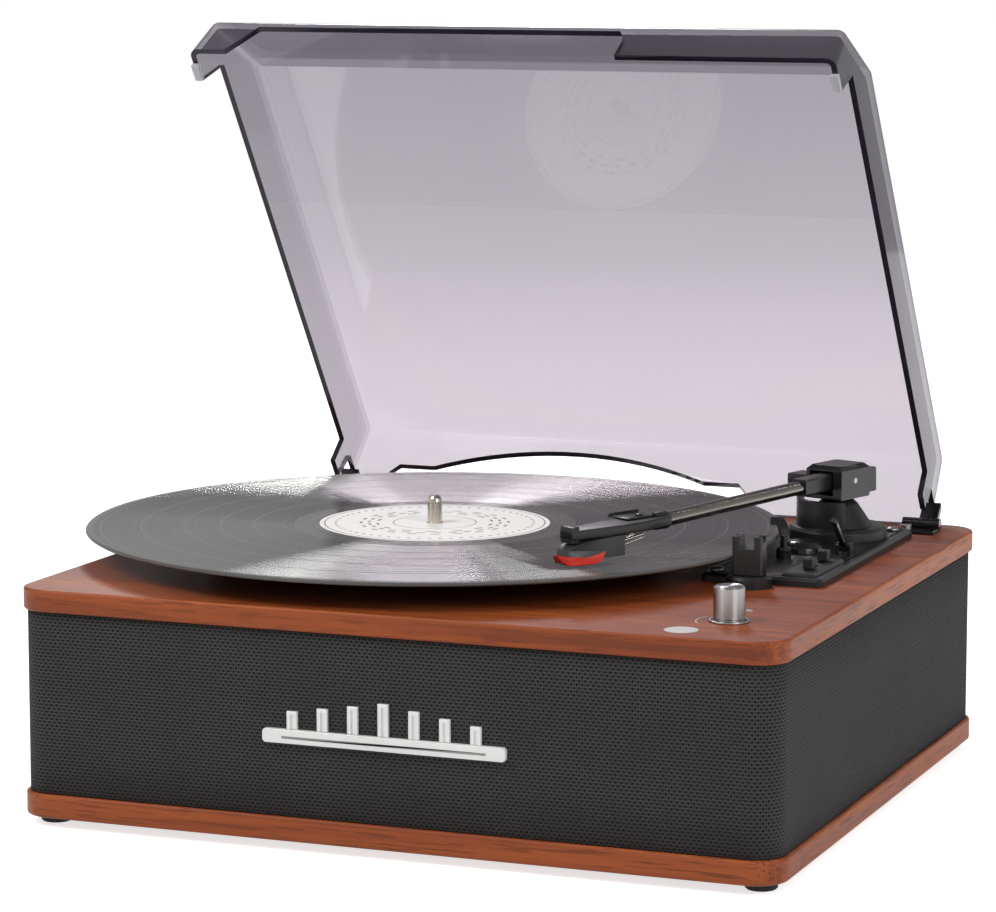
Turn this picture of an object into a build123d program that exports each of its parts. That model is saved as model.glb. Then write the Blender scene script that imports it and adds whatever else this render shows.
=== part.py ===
"""Record player: a wooden cabinet with built-in speakers, a belt-driven platter and a hinged dust cover.

Millimetres. The origin is the centre of the bottom board's underside, +Z up, +X to the right along the
front, and the front faces -Y. The model stands as it is used: a record on the platter, the tonearm on the
record and the dust cover open.
"""

from math import acos, atan2, cos, degrees, radians, sin, sqrt, tan
import os

from build123d import *

os.makedirs("parts", exist_ok=True)

# Cabinet
cabinet_width = 330.0
cabinet_depth = 300.0
cabinet_corner = 14.0
bottom_board_thickness = 10.0
body_height = 76.2
top_board_thickness = 9.3
board_edge_round = 1.2
body_inset = 1.66
cloth_thickness = 1.0
panel_thickness = 9.0
corner_post_size = 22.0
foot_diameter = 13.0
foot_height = 4.0
foot_inset_x = 11.5
foot_inset_y = 15.0

# Shared fits
running_gap = 0.05
loose_gap = 0.3
screw_radius = 1.5
screw_head_radius = 2.8
screw_head_height = 1.8

# Record, platter and drive
platter_x = -38.9
platter_y = 0.0
platter_radius = 98.0
platter_bottom_gap = 2.0
platter_height = 7.0
platter_plate_thickness = 2.5
platter_wall = 3.0
belt_ring_radius = 62.0
belt_ring_wall = 2.0
hub_radius = 9.0
mat_thickness = 1.5
record_radius = 150.8
record_thickness = 2.0
label_radius = 50.0
label_thickness = 0.1
record_hole_radius = 3.65
arm_side_x = platter_x + record_radius
spindle_radius = 3.6
spindle_pin_radius = 3.2
spindle_rise = 12.1
spindle_depth = 23.8
bush_radius = 6.0
bush_flange_radius = 14.0
bush_flange_thickness = 1.2
bush_cap_thickness = 2.0
motor_wall_gap = 13.0
motor_distance = platter_radius - platter_wall - motor_wall_gap
motor_direction = 225.0
motor_radius = 17.5
motor_height = 24.0
motor_boss_radius = 5.0
motor_ear_reach = 22.0
motor_ear_thickness = 2.0
motor_shaft_radius = 1.0
pulley_radius = 5.5
pulley_flange_radius = 7.2
pulley_flange_thickness = 0.4
belt_width = 2.0
belt_thickness = 1.0
belt_height = 3.5

# Speakers
speaker_x = 88.0
speaker_z = 48.0
speaker_hole_radius = 31.0
speaker_flange_radius = 37.5
speaker_flange_thickness = 1.6
speaker_screw_circle = 34.3
basket_depth = 20.0
basket_back_radius = 18.0
basket_wall = 1.5
magnet_radius = 19.0
magnet_thickness = 10.0
coil_radius = 8.0
cone_wall = 1.0
cone_depth = 13.0
cone_rim_depth = 4.0

# Amplifier board and rear sockets
board_length = 92.0
board_depth = 62.0
board_thickness = 1.6
can_radius = 5.0
can_height = 13.0
can_pitch = 13.0
sink_size = (26.0, 12.0, 18.0)
sink_slot_width = 3.0
sink_slot_floor = 4.0
chip_size = (18.0, 8.0, 3.0)
plug_size = (14.0, 6.0, 7.0)
board_x = 62.0
board_y = 45.0
standoff_height = 8.0
standoff_radius = 3.0
jack_recess_width = 86.0
jack_recess_height = 34.0
jack_recess_x = 70.0
dc_from_middle = 26.0
aux_from_middle = 6.0
rca_from_middle = 30.0
jack_plate_thickness = 1.5
jack_plate_border = 6.0
rca_pitch = 16.0
rca_radius = 4.15
rca_neck_radius = 4.6
rca_back_radius = 5.0
rca_back_length = 10.0
rca_bore_depth = 9.0
rca_bore_radius = 1.7
rca_length = 8.0
aux_bore_radius = 1.75
aux_depth = 14.0
aux_body_size = 8.0
aux_body_depth = 16.0
dc_bore_radius = 2.75
dc_depth = 9.5
dc_pin_radius = 1.0
dc_body_width = 9.0
dc_body_height = 11.0
dc_body_depth = 12.0

# Badge on the front
badge_left = -51.9
badge_right = 53.0
badge_bar_height = 5.8
badge_bar_z = 43.3
badge_bar_thickness = 2.2
badge_post_thickness = 1.8
badge_post_bottom = 46.4
badge_post_top = 59.6
badge_post_width = 4.6
badge_post_count = 7
badge_post_pitch = 13.2

# Volume control and pilot lamp
knob_from_side = 33.0
knob_x = cabinet_width / 2 - knob_from_side
knob_y = -112.0
knob_radius = 6.25
knob_top = 14.3
knob_shaft_radius = 3.0
knob_shaft_top = 11.0
knob_socket_radius = 4.3
knob_socket_depth = 4.0
pot_bush_radius = 3.9
pot_bush_rise = 3.2
pot_body_size = 17.0
pot_body_height = 8.5
collar_inner_radius = 6.8
collar_outer_radius = 8.2
collar_height = 0.9
lamp_from_side = 32.2
lamp_x = cabinet_width / 2 - lamp_from_side
lamp_y = -88.8
lamp_radius = 1.5
lamp_rise = 0.8

# Arm plate
plate_left = arm_side_x - 19.9
plate_right = arm_side_x + 32.9
plate_front = -29.0
plate_rear = 116.0
plate_rear_cut = 7.0
plate_thickness = 3.5
plate_bevel = 1.2
groove_inset = 3.4
groove_width = 0.9
groove_depth = 0.5
panel_left = arm_side_x + 14.6
panel_right = arm_side_x + 29.1
panel_front = -25.5
panel_rear = 15.5
panel_rise = 1.5
switch_slot_width = 2.6
switch_slot_floor = 0.6
switch_stem_width = 2.0
switch_stem_length = 3.0
switch_knob_width = 4.2
switch_knob_length = 4.8
switch_knob_height = 4.6
speed_switch_x = arm_side_x + 22.5
speed_switch_y = -13.0
speed_switch_travel = 8.0
stop_switch_y = 8.0
stop_switch_travel = 4.0
rest_x = arm_side_x + 3.7
rest_y = -35.4
rest_collar_radius = 9.5
rest_collar_height = 5.0
rest_width = 13.0
rest_depth = 8.0
rest_top = 21.4
rest_slot_width = 6.2
rest_slot_floor = 16.4

# Tonearm
arm_x = arm_side_x + 7.1
arm_y = 80.0
arm_angle = 17.4
arm_droop = 1.0
arm_axis_height = 29.05
ring_radius = 21.5
ring_top = 8.9
cone_base_radius = 15.3
cone_top_radius = 7.6
cone_top = 20.9
guard_outer_radius = 18.0
guard_wall = 2.4
guard_top = 20.9
guard_start = -185.0
guard_end = -63.0
yoke_pin_radius = 3.0
yoke_pin_length = 15.0
yoke_bottom = 21.3
yoke_floor = 1.7
yoke_top = 36.0
yoke_half_length = 11.0
yoke_half_width = 9.3
yoke_cheek = 1.9
yoke_roof = 2.4
yoke_bevel = 1.9
wing_length = 11.0
wing_reach = 23.6
wing_bottom = 24.0
wing_top = 30.2
tilt_pin_radius = 1.2
tilt_pin_reach = 2.0
holder_front = 6.0
holder_rear = -12.0
holder_gap = 0.4
holder_bottom = -4.6
holder_height = 7.6
sleeve_length = 24.0
sleeve_size = 7.4
tube_radius = 3.0
neck_reach = 127.4
weight_length = 8.5
weight_half_width = 7.2
weight_bottom = 21.9
weight_top = 32.6
headshell_offset = 10.9
headshell_length = 54.0
headshell_width = 14.0
headshell_waist = 30.0
headshell_nose_width = 7.4
headshell_nose_length = 4.0
headshell_nose_rise = 1.3
headshell_thickness = 3.2
headshell_lip = 1.6
headshell_taper = 16.0
neck_collar_radius = 4.2
neck_collar_length = 9.0
stylus_reach = 50.7
stylus_clearance = 0.3
cartridge_front = 58.6
cartridge_rear = 27.3
cartridge_seat_front = 36.0
cartridge_half_width = 6.0
cartridge_bottom = -7.6
cartridge_heel_bottom = -10.6
stylus_body_front = 61.0
stylus_body_rear = 37.6
stylus_body_bottom = -12.2
stylus_tip_radius = 0.5
cartridge_pin_radius = 0.6
cartridge_pin_length = 8.5
cartridge_pin_across = 2.4
cartridge_pin_rows = (2.1, 0.2)
finger_rear = 13.5
finger_front = 26.5
finger_reach = 10.5
finger_thickness = 1.2
finger_rise = 2.6

# Arm lifter
cue_x = arm_side_x + 4.1
cue_y = 37.0
cue_dome_radius = 9.0
cue_dome_height = 8.2
lifter_x = arm_side_x + 1.9
lifter_y = 18.0
lifter_boss_radius = 3.2
lifter_boss_top = 8.0
lifter_stem_radius = 1.6
lifter_thickness = 3.4
lifter_inner_radius = 4.2
lifter_outer_radius = 7.2
lifter_turn = 136.5
lifter_centre_z = 13.0
lever_x = arm_side_x + 23.4
lever_y = 35.5
lever_axis_height = 6.6
lever_length = 20.7
lever_elevation = 40.0
lever_width = 3.0
lever_thickness = 1.8
lever_ball_radius = 1.7
lever_axle_radius = 0.9
lever_ear_thickness = 1.6

# Dust cover
cover_wall = 2.5
cover_rear = 141.5
cover_length = 270.0
cover_height = 50.0
cover_half_width_bottom = 145.2
cover_half_width_top = 143.0
cover_bevel_run = 38.8
cover_bevel_drop = 25.0
cover_front_slope = 2.3
cover_rear_crease = 7.5
cover_edge_round = 4.5
cover_rim = 21.0
cover_foot = 2.2
front_foot_length = 17.0
front_foot_slope = 6.0
rear_foot_length = 25.0
rear_wall_bottom = 14.5
rear_chamfer_d = 8.0
rear_chamfer_n = 4.0
front_gap_left = -128.0
front_gap_right = 50.0
arch_x = -35.5
arch_top = 40.2
arch_radius = 196.0
arch_shoulder = 28.2
arch_foot_half = 89.5
arch_corner = 4.5
cover_open_angle = 55.0
bumper_length = 8.0

# Hinges
hinge_y = 130.0
hinge_height = 3.1
hinge_inner = 135.0
hinge_outer = 152.0
knuckle_radius = 2.6
hinge_pin_radius = 1.0
hinge_end_knuckle = 4.0
hinge_gap = 0.3
leaf_thickness = 3.0
leaf_top = 21.5
leaf_narrowing = 4.5
bracket_depth = 9.0
bracket_thickness = 1.6

# Heights and centres that follow
deck = bottom_board_thickness + body_height + top_board_thickness
board_underside = bottom_board_thickness + body_height
body_width = cabinet_width - 2 * body_inset
body_depth = cabinet_depth - 2 * body_inset
body_corner = cabinet_corner - body_inset
panel_width = body_width - 2 * cloth_thickness
panel_depth = body_depth - 2 * cloth_thickness
panel_corner = body_corner - cloth_thickness
front_panel_y = -panel_depth / 2
front_inside_y = front_panel_y + panel_thickness
rear_inside_y = panel_depth / 2 - panel_thickness
cloth_front_y = -body_depth / 2
platter_bottom = deck + platter_bottom_gap
platter_top = platter_bottom + platter_height
mat_top = platter_top + mat_thickness
record_top = mat_top + record_thickness
motor_x = platter_x + motor_distance * cos(radians(motor_direction))
motor_y = platter_y + motor_distance * sin(radians(motor_direction))
hinge_z = deck + hinge_height
jack_z = (bottom_board_thickness + board_underside) / 2
LOW = (Align.CENTER, Align.CENTER, Align.MIN)


def save(name, *solids):
    """Write one sub-part, which may be a group of separate pieces."""
    shape = solids[0] if len(solids) == 1 else Compound(children=list(solids))
    export_step(shape, f"parts/{name}.step")


def post(x, y, z, radius, height):
    """An upright cylinder that stands on z."""
    return Pos(x, y, z) * Cylinder(radius, height, align=LOW)


def block(x0, x1, y0, y1, z0, z1):
    """A box between two corners."""
    return Pos((x0 + x1) / 2, (y0 + y1) / 2, z0) * Box(x1 - x0, y1 - y0, z1 - z0, align=LOW)


def rounded_slab(width, depth, corner, z, height):
    """A slab with rounded upright corners, centred on the cabinet."""
    return extrude(Pos(0, 0, z) * RectangleRounded(width, depth, corner), amount=height)


def lathe(points, x=0.0, y=0.0, z=0.0):
    """A turned piece: an outline of radius and height, spun about an upright axis."""
    outline = Plane.XZ * Polyline(*points, close=True)
    return Pos(x, y, z) * revolve(make_face(outline), Axis.Z)


def side_prism(points, x0, x1):
    """An outline in Y and Z, extruded along X from x0 to x1."""
    outline = Plane.YZ * Polyline(*points, close=True)
    return Pos(x0, 0, 0) * extrude(make_face(outline), amount=x1 - x0, dir=(1, 0, 0))


def screw(x, y, z, length, up=True):
    """A pan-head screw whose head sits on z, with its shank below, or above if up is false."""
    head = post(x, y, z, screw_head_radius, screw_head_height)
    shank = post(x, y, z - length, screw_radius, length)
    fastener = head + shank
    if up:
        return fastener
    return Pos(0, 0, 2 * z) * mirror(fastener, Plane.XY)


# Cabinet boards
foot_places = [
    (side * (cabinet_width / 2 - foot_inset_x), end * (cabinet_depth / 2 - foot_inset_y))
    for side in (-1, 1)
    for end in (-1, 1)
]
standoff_places = [
    (board_x + side * (board_length / 2 - 5), board_y + end * (board_depth / 2 - 5))
    for side in (-1, 1)
    for end in (-1, 1)
]
foot_head_seat = -foot_height + screw_head_height + 1.0
foot_screw_length = 8.0 - foot_head_seat
standoff_bite = 5.0


def soften(board):
    """Round the board's long edges, top and bottom."""
    rims = board.faces().sort_by(Axis.Z)[0].outer_wire().edges()
    rims += board.faces().sort_by(Axis.Z)[-1].outer_wire().edges()
    return fillet(rims, board_edge_round)


def make_bottom_board():
    board = soften(rounded_slab(cabinet_width, cabinet_depth, cabinet_corner, 0, bottom_board_thickness))
    for x, y in foot_places:
        board -= post(x, y, 0, screw_radius, foot_screw_length + foot_head_seat)
    for x, y in standoff_places:
        board -= post(x, y, bottom_board_thickness - standoff_bite, screw_radius, standoff_bite)
    return board


motor_screw_places = [
    (motor_x + side * motor_ear_reach * 0.8, motor_y - side * motor_ear_reach * 0.6) for side in (-1, 1)
]
plate_screw_places = [
    (plate_left + 5.5, plate_front + 6.5),
    (plate_left + 5.5, plate_rear - 6.5),
    (plate_right - 7.5, plate_rear - 12.0),
]
bracket_screw_x = hinge_inner + 3.2
bracket_screw_y = hinge_y - knuckle_radius - bracket_depth / 2 - 0.4
bracket_screw_places = [(side * bracket_screw_x, bracket_screw_y) for side in (-1, 1)]
wood_screw_bite = 7.0


def make_top_board():
    slab = rounded_slab(cabinet_width, cabinet_depth, cabinet_corner, board_underside, top_board_thickness)
    board = soften(slab)
    board -= post(platter_x, platter_y, board_underside, bush_radius, top_board_thickness)
    board -= post(motor_x, motor_y, board_underside, motor_boss_radius + 1.0, top_board_thickness)
    for x, y in motor_screw_places:
        board -= post(x, y, board_underside, screw_radius, top_board_thickness)
        board -= post(x, y, deck - screw_head_height, screw_head_radius, screw_head_height)
    for x, y in plate_screw_places + bracket_screw_places:
        board -= post(x, y, deck - wood_screw_bite, screw_radius, wood_screw_bite)
    board -= post(knob_x, knob_y, board_underside, pot_bush_radius, top_board_thickness)
    board -= post(lamp_x, lamp_y, board_underside, lamp_radius, top_board_thickness)
    return board


def speaker_screw_places():
    places = []
    for side in (-1, 1):
        for quarter in range(4):
            angle = radians(45 + 90 * quarter)
            reach = speaker_screw_circle
            places.append((side * speaker_x + reach * cos(angle), speaker_z + reach * sin(angle)))
    return places


def drum(x, z, y, radius, length):
    """A cylinder along Y that starts at y and runs towards the rear."""
    return Pos(x, y, z) * Rot(-90, 0, 0) * Cylinder(radius, length, align=LOW)


panel_end_x = panel_width / 2 - corner_post_size
panel_end_y = panel_depth / 2 - corner_post_size
jack_left = jack_recess_x - jack_recess_width / 2
jack_right = jack_recess_x + jack_recess_width / 2
jack_low = jack_z - jack_recess_height / 2
jack_high = jack_z + jack_recess_height / 2


def make_front_baffle():
    baffle = block(
        -panel_end_x, panel_end_x, front_panel_y, front_inside_y, bottom_board_thickness, board_underside
    )
    for side in (-1, 1):
        baffle -= drum(side * speaker_x, speaker_z, front_panel_y, speaker_hole_radius, panel_thickness)
    for x, z in speaker_screw_places():
        baffle -= drum(x, z, front_inside_y - wood_screw_bite, screw_radius, wood_screw_bite)
    return baffle


def make_side_panels():
    outside = panel_width / 2
    right = block(
        outside - panel_thickness, outside, -panel_end_y, panel_end_y, bottom_board_thickness, board_underside
    )
    return right, mirror(right, Plane.YZ)


def make_rear_panel():
    rear = panel_depth / 2
    panel = block(-panel_end_x, panel_end_x, rear_inside_y, rear, bottom_board_thickness, board_underside)
    return panel - block(jack_left, jack_right, rear_inside_y, rear, jack_low, jack_high)


def make_corner_posts():
    outline = rounded_slab(panel_width, panel_depth, panel_corner, bottom_board_thickness, body_height)
    posts = []
    for side in (-1, 1):
        for end in (-1, 1):
            x = side * (panel_width / 2 - corner_post_size / 2)
            y = end * (panel_depth / 2 - corner_post_size / 2)
            square = Pos(x, y, bottom_board_thickness) * Box(
                corner_post_size, corner_post_size, body_height, align=LOW
            )
            posts.append(outline & square)
    return posts


def make_grille_cloth():
    outer = rounded_slab(body_width, body_depth, body_corner, bottom_board_thickness, body_height)
    inner = rounded_slab(panel_width, panel_depth, panel_corner, bottom_board_thickness, body_height)
    window = block(jack_left, jack_right, rear_inside_y, cabinet_depth / 2, jack_low, jack_high)
    return outer - inner - window


def make_feet():
    feet = []
    for x, y in foot_places:
        foot = post(x, y, -foot_height, foot_diameter / 2, foot_height)
        foot = chamfer(foot.edges().group_by(Axis.Z)[0], 0.7)
        foot -= post(x, y, -foot_height, screw_radius, foot_height)
        foot -= post(x, y, -foot_height, screw_head_radius, foot_height + foot_head_seat)
        feet.append(foot)
    return feet


def make_steel_screws():
    """Every steel screw of the cabinet, with the spacers under the amplifier board."""
    pieces = []
    for x, y in foot_places:
        pieces.append(screw(x, y, foot_head_seat, foot_screw_length, up=False))
    for x, y in motor_screw_places:
        length = top_board_thickness - screw_head_height + motor_ear_thickness
        pieces.append(screw(x, y, deck - screw_head_height, length))
    for x, y in bracket_screw_places:
        pieces.append(screw(x, y, deck + bracket_thickness, wood_screw_bite + bracket_thickness))
    for x, z in speaker_screw_places():
        seat = front_inside_y + speaker_flange_thickness
        bite_y = front_inside_y - wood_screw_bite
        shank = drum(x, z, bite_y, screw_radius, wood_screw_bite + speaker_flange_thickness)
        pieces.append(shank + drum(x, z, seat, screw_head_radius * 0.8, screw_head_height))
    for x, y in standoff_places:
        pieces.append(post(x, y, bottom_board_thickness, standoff_radius, standoff_height)
                      + post(x, y, bottom_board_thickness - standoff_bite, screw_radius, standoff_bite)
                      + post(x, y, bottom_board_thickness + standoff_height, screw_radius, board_thickness)
                      + post(x, y, board_top, screw_head_radius, screw_head_height))
    return pieces


# Badge
def make_badge_bar():
    low = badge_bar_z - badge_bar_height / 2
    front = cloth_front_y - badge_bar_thickness
    bar = block(badge_left, badge_right, front, cloth_front_y, low, low + badge_bar_height)
    bar = chamfer(bar.faces().sort_by(Axis.Y)[0].edges(), 0.7)
    for groove in range(2):
        z = low + badge_bar_height * (0.3 + 0.3 * groove)
        bar -= block(badge_left + 4, badge_right - 4, front, front + 0.5, z, z + badge_bar_height * 0.12)
    return bar


def make_badge_posts():
    """Plain stepped uprights on the badge, tallest in the middle."""
    posts = []
    middle = (badge_left + badge_right) / 2
    half = (badge_post_count - 1) / 2
    for index in range(badge_post_count):
        step = abs(index - half) / half
        top = badge_post_top - step * 0.45 * (badge_post_top - badge_post_bottom)
        x = middle + (index - half) * badge_post_pitch
        bottom = badge_bar_z + badge_bar_height / 2
        upright = block(
            x - badge_post_width / 2,
            x + badge_post_width / 2,
            cloth_front_y - badge_post_thickness,
            cloth_front_y,
            bottom,
            top,
        )
        flute = block(
            x - 0.5, x + 0.5, cloth_front_y - badge_post_thickness, cloth_front_y - 1.1, bottom, top - 1.6
        )
        upright = chamfer(upright.faces().sort_by(Axis.Y)[0].edges(), 0.4)
        posts.append(upright - flute)
    return posts


# Rear sockets
dc_x = jack_recess_x + dc_from_middle
aux_x = jack_recess_x + aux_from_middle
rca_places = [(jack_recess_x - rca_from_middle + rca_pitch * index, jack_z) for index in range(2)]
jack_plate_front = rear_inside_y - jack_plate_thickness


def make_jack_plate():
    plate = block(
        jack_left - jack_plate_border,
        jack_right + jack_plate_border,
        jack_plate_front,
        rear_inside_y,
        jack_low - jack_plate_border,
        jack_high + jack_plate_border,
    )
    plate -= drum(dc_x, jack_z, jack_plate_front, dc_bore_radius, jack_plate_thickness)
    plate -= drum(aux_x, jack_z, jack_plate_front, aux_bore_radius, jack_plate_thickness)
    for x, z in rca_places:
        plate -= drum(x, z, jack_plate_front, rca_neck_radius, jack_plate_thickness)
    return plate


def make_input_jacks():
    """The supply socket and the small stereo socket, behind the plate."""
    dc = block(
        dc_x - dc_body_width / 2,
        dc_x + dc_body_width / 2,
        jack_plate_front - dc_body_depth,
        jack_plate_front,
        jack_z - dc_body_height / 2,
        jack_z + dc_body_height / 2,
    )
    dc -= drum(dc_x, jack_z, jack_plate_front - dc_depth, dc_bore_radius, dc_depth)
    dc += drum(dc_x, jack_z, jack_plate_front - dc_depth, dc_pin_radius, dc_depth)
    half = aux_body_size / 2
    back = jack_plate_front - aux_body_depth
    aux = block(aux_x - half, aux_x + half, back, jack_plate_front, jack_z - half, jack_z + half)
    aux -= drum(aux_x, jack_z, jack_plate_front - aux_depth, aux_bore_radius, aux_depth)
    return dc, aux


def make_rca_jacks():
    jacks = []
    for x, z in rca_places:
        barrel = drum(x, z, rear_inside_y, rca_radius, rca_length)
        barrel += drum(x, z, jack_plate_front, rca_neck_radius, jack_plate_thickness)
        barrel += drum(x, z, jack_plate_front - rca_back_length, rca_back_radius, rca_back_length)
        mouth_y = rear_inside_y + rca_length
        barrel -= drum(x, z, mouth_y - rca_bore_depth, rca_bore_radius, rca_bore_depth)
        jacks.append(barrel)
    return jacks


# Speakers
def make_speaker(side):
    """Frame, magnet and cone of one speaker, with its axis along Y and its front towards -Y."""
    hole = speaker_hole_radius
    rim = hole - 0.6
    back_y = speaker_flange_thickness + basket_depth
    frame_outline = [
        (rim, 0.0),
        (speaker_flange_radius, 0.0),
        (speaker_flange_radius, speaker_flange_thickness),
        (rim + basket_wall, speaker_flange_thickness),
        (rim + basket_wall, cone_rim_depth),
        (basket_back_radius + basket_wall, back_y),
        (coil_radius + 1.2, back_y),
        (coil_radius + 1.2, back_y - basket_wall),
        (basket_back_radius, back_y - basket_wall),
        (rim, cone_rim_depth),
    ]
    magnet_outline = [
        (coil_radius + 1.2, back_y),
        (magnet_radius, back_y),
        (magnet_radius, back_y + magnet_thickness),
        (0.0, back_y + magnet_thickness),
        (0.0, back_y + magnet_thickness - 2.0),
        (coil_radius + 1.2, back_y + magnet_thickness - 2.0),
    ]
    cone_rim = rim - loose_gap
    cone_outline = [
        (0.0, cone_depth - 1.0),
        (coil_radius - cone_wall, cone_depth - 1.0),
        (cone_rim - 1.5, 0.2),
        (cone_rim, 0.2),
        (cone_rim, 1.2),
        (cone_rim - 1.2, 1.4),
        (coil_radius + 0.2, cone_depth + 0.4),
        (coil_radius + 0.2, back_y + 2.0),
        (coil_radius - cone_wall, back_y + 2.0),
        (coil_radius - cone_wall, cone_depth),
        (0.0, cone_depth),
    ]
    place = Pos(side * speaker_x, front_inside_y, speaker_z) * Rot(-90, 0, 0)
    frame = place * lathe(frame_outline)
    for x, z in speaker_screw_places():
        if x * side > 0:
            frame -= drum(x, z, front_inside_y, screw_radius, speaker_flange_thickness)
    return frame, place * lathe(magnet_outline), place * lathe(cone_outline)


# Amplifier board
board_top = bottom_board_thickness + standoff_height + board_thickness


def make_main_board():
    low = bottom_board_thickness + standoff_height
    board = Pos(board_x, board_y, low) * Box(board_length, board_depth, board_thickness, align=LOW)
    for x, y in standoff_places:
        board -= post(x, y, low, screw_radius, board_thickness)
    return board


def make_board_components():
    """Capacitors, a slotted heat sink, an amplifier chip and a connector."""
    quarter_x, quarter_y = board_length / 4, board_depth / 5
    pieces = []
    for index in range(3):
        x = board_x - quarter_x - can_radius + can_pitch * index
        pieces.append(post(x, board_y + quarter_y, board_top, can_radius, can_height))
    sink_x, sink_y = board_x + quarter_x, board_y + quarter_y
    sink = Pos(sink_x, sink_y, board_top) * Box(*sink_size, align=LOW)
    slot_pitch = sink_size[0] / 4
    for index in range(3):
        x = sink_x + (index - 1) * slot_pitch
        slot = Box(sink_slot_width, sink_size[1] * 0.75, sink_size[2], align=LOW)
        sink -= Pos(x, sink_y - sink_size[1] / 2, board_top + sink_slot_floor) * slot
    pieces.append(sink)
    pieces.append(Pos(sink_x, board_y - quarter_y, board_top) * Box(*chip_size, align=LOW))
    pieces.append(Pos(board_x - quarter_x, board_y - quarter_y, board_top) * Box(*plug_size, align=LOW))
    return pieces


# Volume control
def make_volume_pot():
    body = Pos(knob_x, knob_y, board_underside - pot_body_height) * Box(
        pot_body_size, pot_body_size, pot_body_height, align=LOW
    )
    bush = post(knob_x, knob_y, board_underside, pot_bush_radius, top_board_thickness + pot_bush_rise)
    bore = post(
        knob_x, knob_y, board_underside - pot_body_height / 2, knob_shaft_radius + running_gap, cabinet_depth
    )
    return body + bush - bore


def make_knob_collar():
    collar = post(knob_x, knob_y, deck, collar_outer_radius, collar_height)
    collar = chamfer(collar.edges().group_by(Axis.Z)[-1], 0.3)
    return collar - post(knob_x, knob_y, deck, collar_inner_radius, collar_height)


def make_volume_shaft():
    low = board_underside - pot_body_height / 2 + loose_gap
    return post(knob_x, knob_y, low, knob_shaft_radius, deck + knob_shaft_top - low)


def make_volume_knob():
    low = loose_gap
    outline = [
        (knob_socket_radius, low),
        (knob_radius, low),
        (knob_radius, knob_top - 0.8),
        (knob_radius - 0.6, knob_top - 0.1),
        (knob_radius - 1.3, knob_top),
        (0.0, knob_top),
        (0.0, knob_shaft_top),
        (knob_shaft_radius, knob_shaft_top),
        (knob_shaft_radius, knob_socket_depth),
        (knob_socket_radius, knob_socket_depth),
    ]
    return lathe(outline, knob_x, knob_y, deck)


def make_lamp():
    stem = post(lamp_x, lamp_y, board_underside, lamp_radius, top_board_thickness + lamp_rise)
    return fillet(stem.edges().group_by(Axis.Z)[-1], lamp_rise * 0.8)


# Platter and drive
ring_bottom = belt_height - 0.9


def make_bearing_bush():
    outline = [
        (0.0, -spindle_depth - loose_gap - bush_cap_thickness),
        (bush_radius, -spindle_depth - loose_gap - bush_cap_thickness),
        (bush_radius, 0.0),
        (bush_flange_radius, 0.0),
        (bush_flange_radius, bush_flange_thickness),
        (spindle_radius + running_gap, bush_flange_thickness),
        (spindle_radius + running_gap, -spindle_depth - loose_gap),
        (0.0, -spindle_depth - loose_gap),
    ]
    return lathe(outline, platter_x, platter_y, deck)


def make_platter():
    plate_bottom = platter_height - platter_plate_thickness
    outline = [
        (spindle_radius, loose_gap + 0.2),
        (hub_radius, loose_gap + 0.2),
        (hub_radius, plate_bottom),
        (belt_ring_radius - belt_ring_wall, plate_bottom),
        (belt_ring_radius - belt_ring_wall, ring_bottom - platter_bottom_gap),
        (belt_ring_radius, ring_bottom - platter_bottom_gap),
        (belt_ring_radius, plate_bottom),
        (platter_radius - platter_wall, plate_bottom),
        (platter_radius - platter_wall, 0.0),
        (platter_radius - 0.5, 0.0),
        (platter_radius, 0.5),
        (platter_radius, platter_height - 0.5),
        (platter_radius - 0.5, platter_height),
        (spindle_radius, platter_height),
    ]
    return lathe(outline, platter_x, platter_y, platter_bottom)


def make_platter_mat():
    mat = post(platter_x, platter_y, platter_top, platter_radius - 1.5, mat_thickness)
    return mat - post(platter_x, platter_y, platter_top, spindle_radius, mat_thickness)


def make_spindle():
    top = record_top - deck + spindle_rise
    outline = [
        (0.0, -spindle_depth),
        (spindle_radius, -spindle_depth),
        (spindle_radius, record_top - deck),
        (spindle_pin_radius, record_top - deck),
        (spindle_pin_radius, top - 2.6),
        (spindle_pin_radius - 0.25, top - 1.5),
        (spindle_pin_radius - 0.9, top - 0.6),
        (spindle_pin_radius - 1.9, top - 0.1),
        (0.0, top),
    ]
    return lathe(outline, platter_x, platter_y, deck)


def make_record():
    lip = 0.7
    dead_wax = label_radius + 3.0
    low = label_thickness
    high = record_thickness - label_thickness
    outline = [
        (record_hole_radius, low),
        (dead_wax, low),
        (dead_wax + 1.0, low + 0.1),
        (record_radius - 6.0, low + 0.1),
        (record_radius - 4.5, low),
        (record_radius - lip, low),
        (record_radius, low + lip),
        (record_radius, high - lip),
        (record_radius - lip, high),
        (record_radius - 4.5, high),
        (record_radius - 6.0, high - 0.1),
        (dead_wax + 1.0, high - 0.1),
        (dead_wax, high),
        (record_hole_radius, high),
    ]
    return lathe(outline, platter_x, platter_y, mat_top)


def make_labels():
    labels = []
    for z in (mat_top, record_top - label_thickness):
        label = post(platter_x, platter_y, z, label_radius, label_thickness)
        labels.append(label - post(platter_x, platter_y, z, record_hole_radius, label_thickness))
    return labels


def belt_region(grow):
    """The outline that a loop makes round the belt ring and the pulley, grown by a gap."""
    big = belt_ring_radius + grow
    small = pulley_radius + grow
    lean = degrees(acos((big - small) / motor_distance))
    region = Pos(platter_x, platter_y) * Circle(big) + Pos(motor_x, motor_y) * Circle(small)
    corners = []
    for x, y, radius, turn in (
        (platter_x, platter_y, big, lean),
        (motor_x, motor_y, small, lean),
        (motor_x, motor_y, small, -lean),
        (platter_x, platter_y, big, -lean),
    ):
        angle = radians(motor_direction + turn)
        corners.append((x + radius * cos(angle), y + radius * sin(angle)))
    return region + make_face(Polyline(*corners, close=True))


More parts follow.
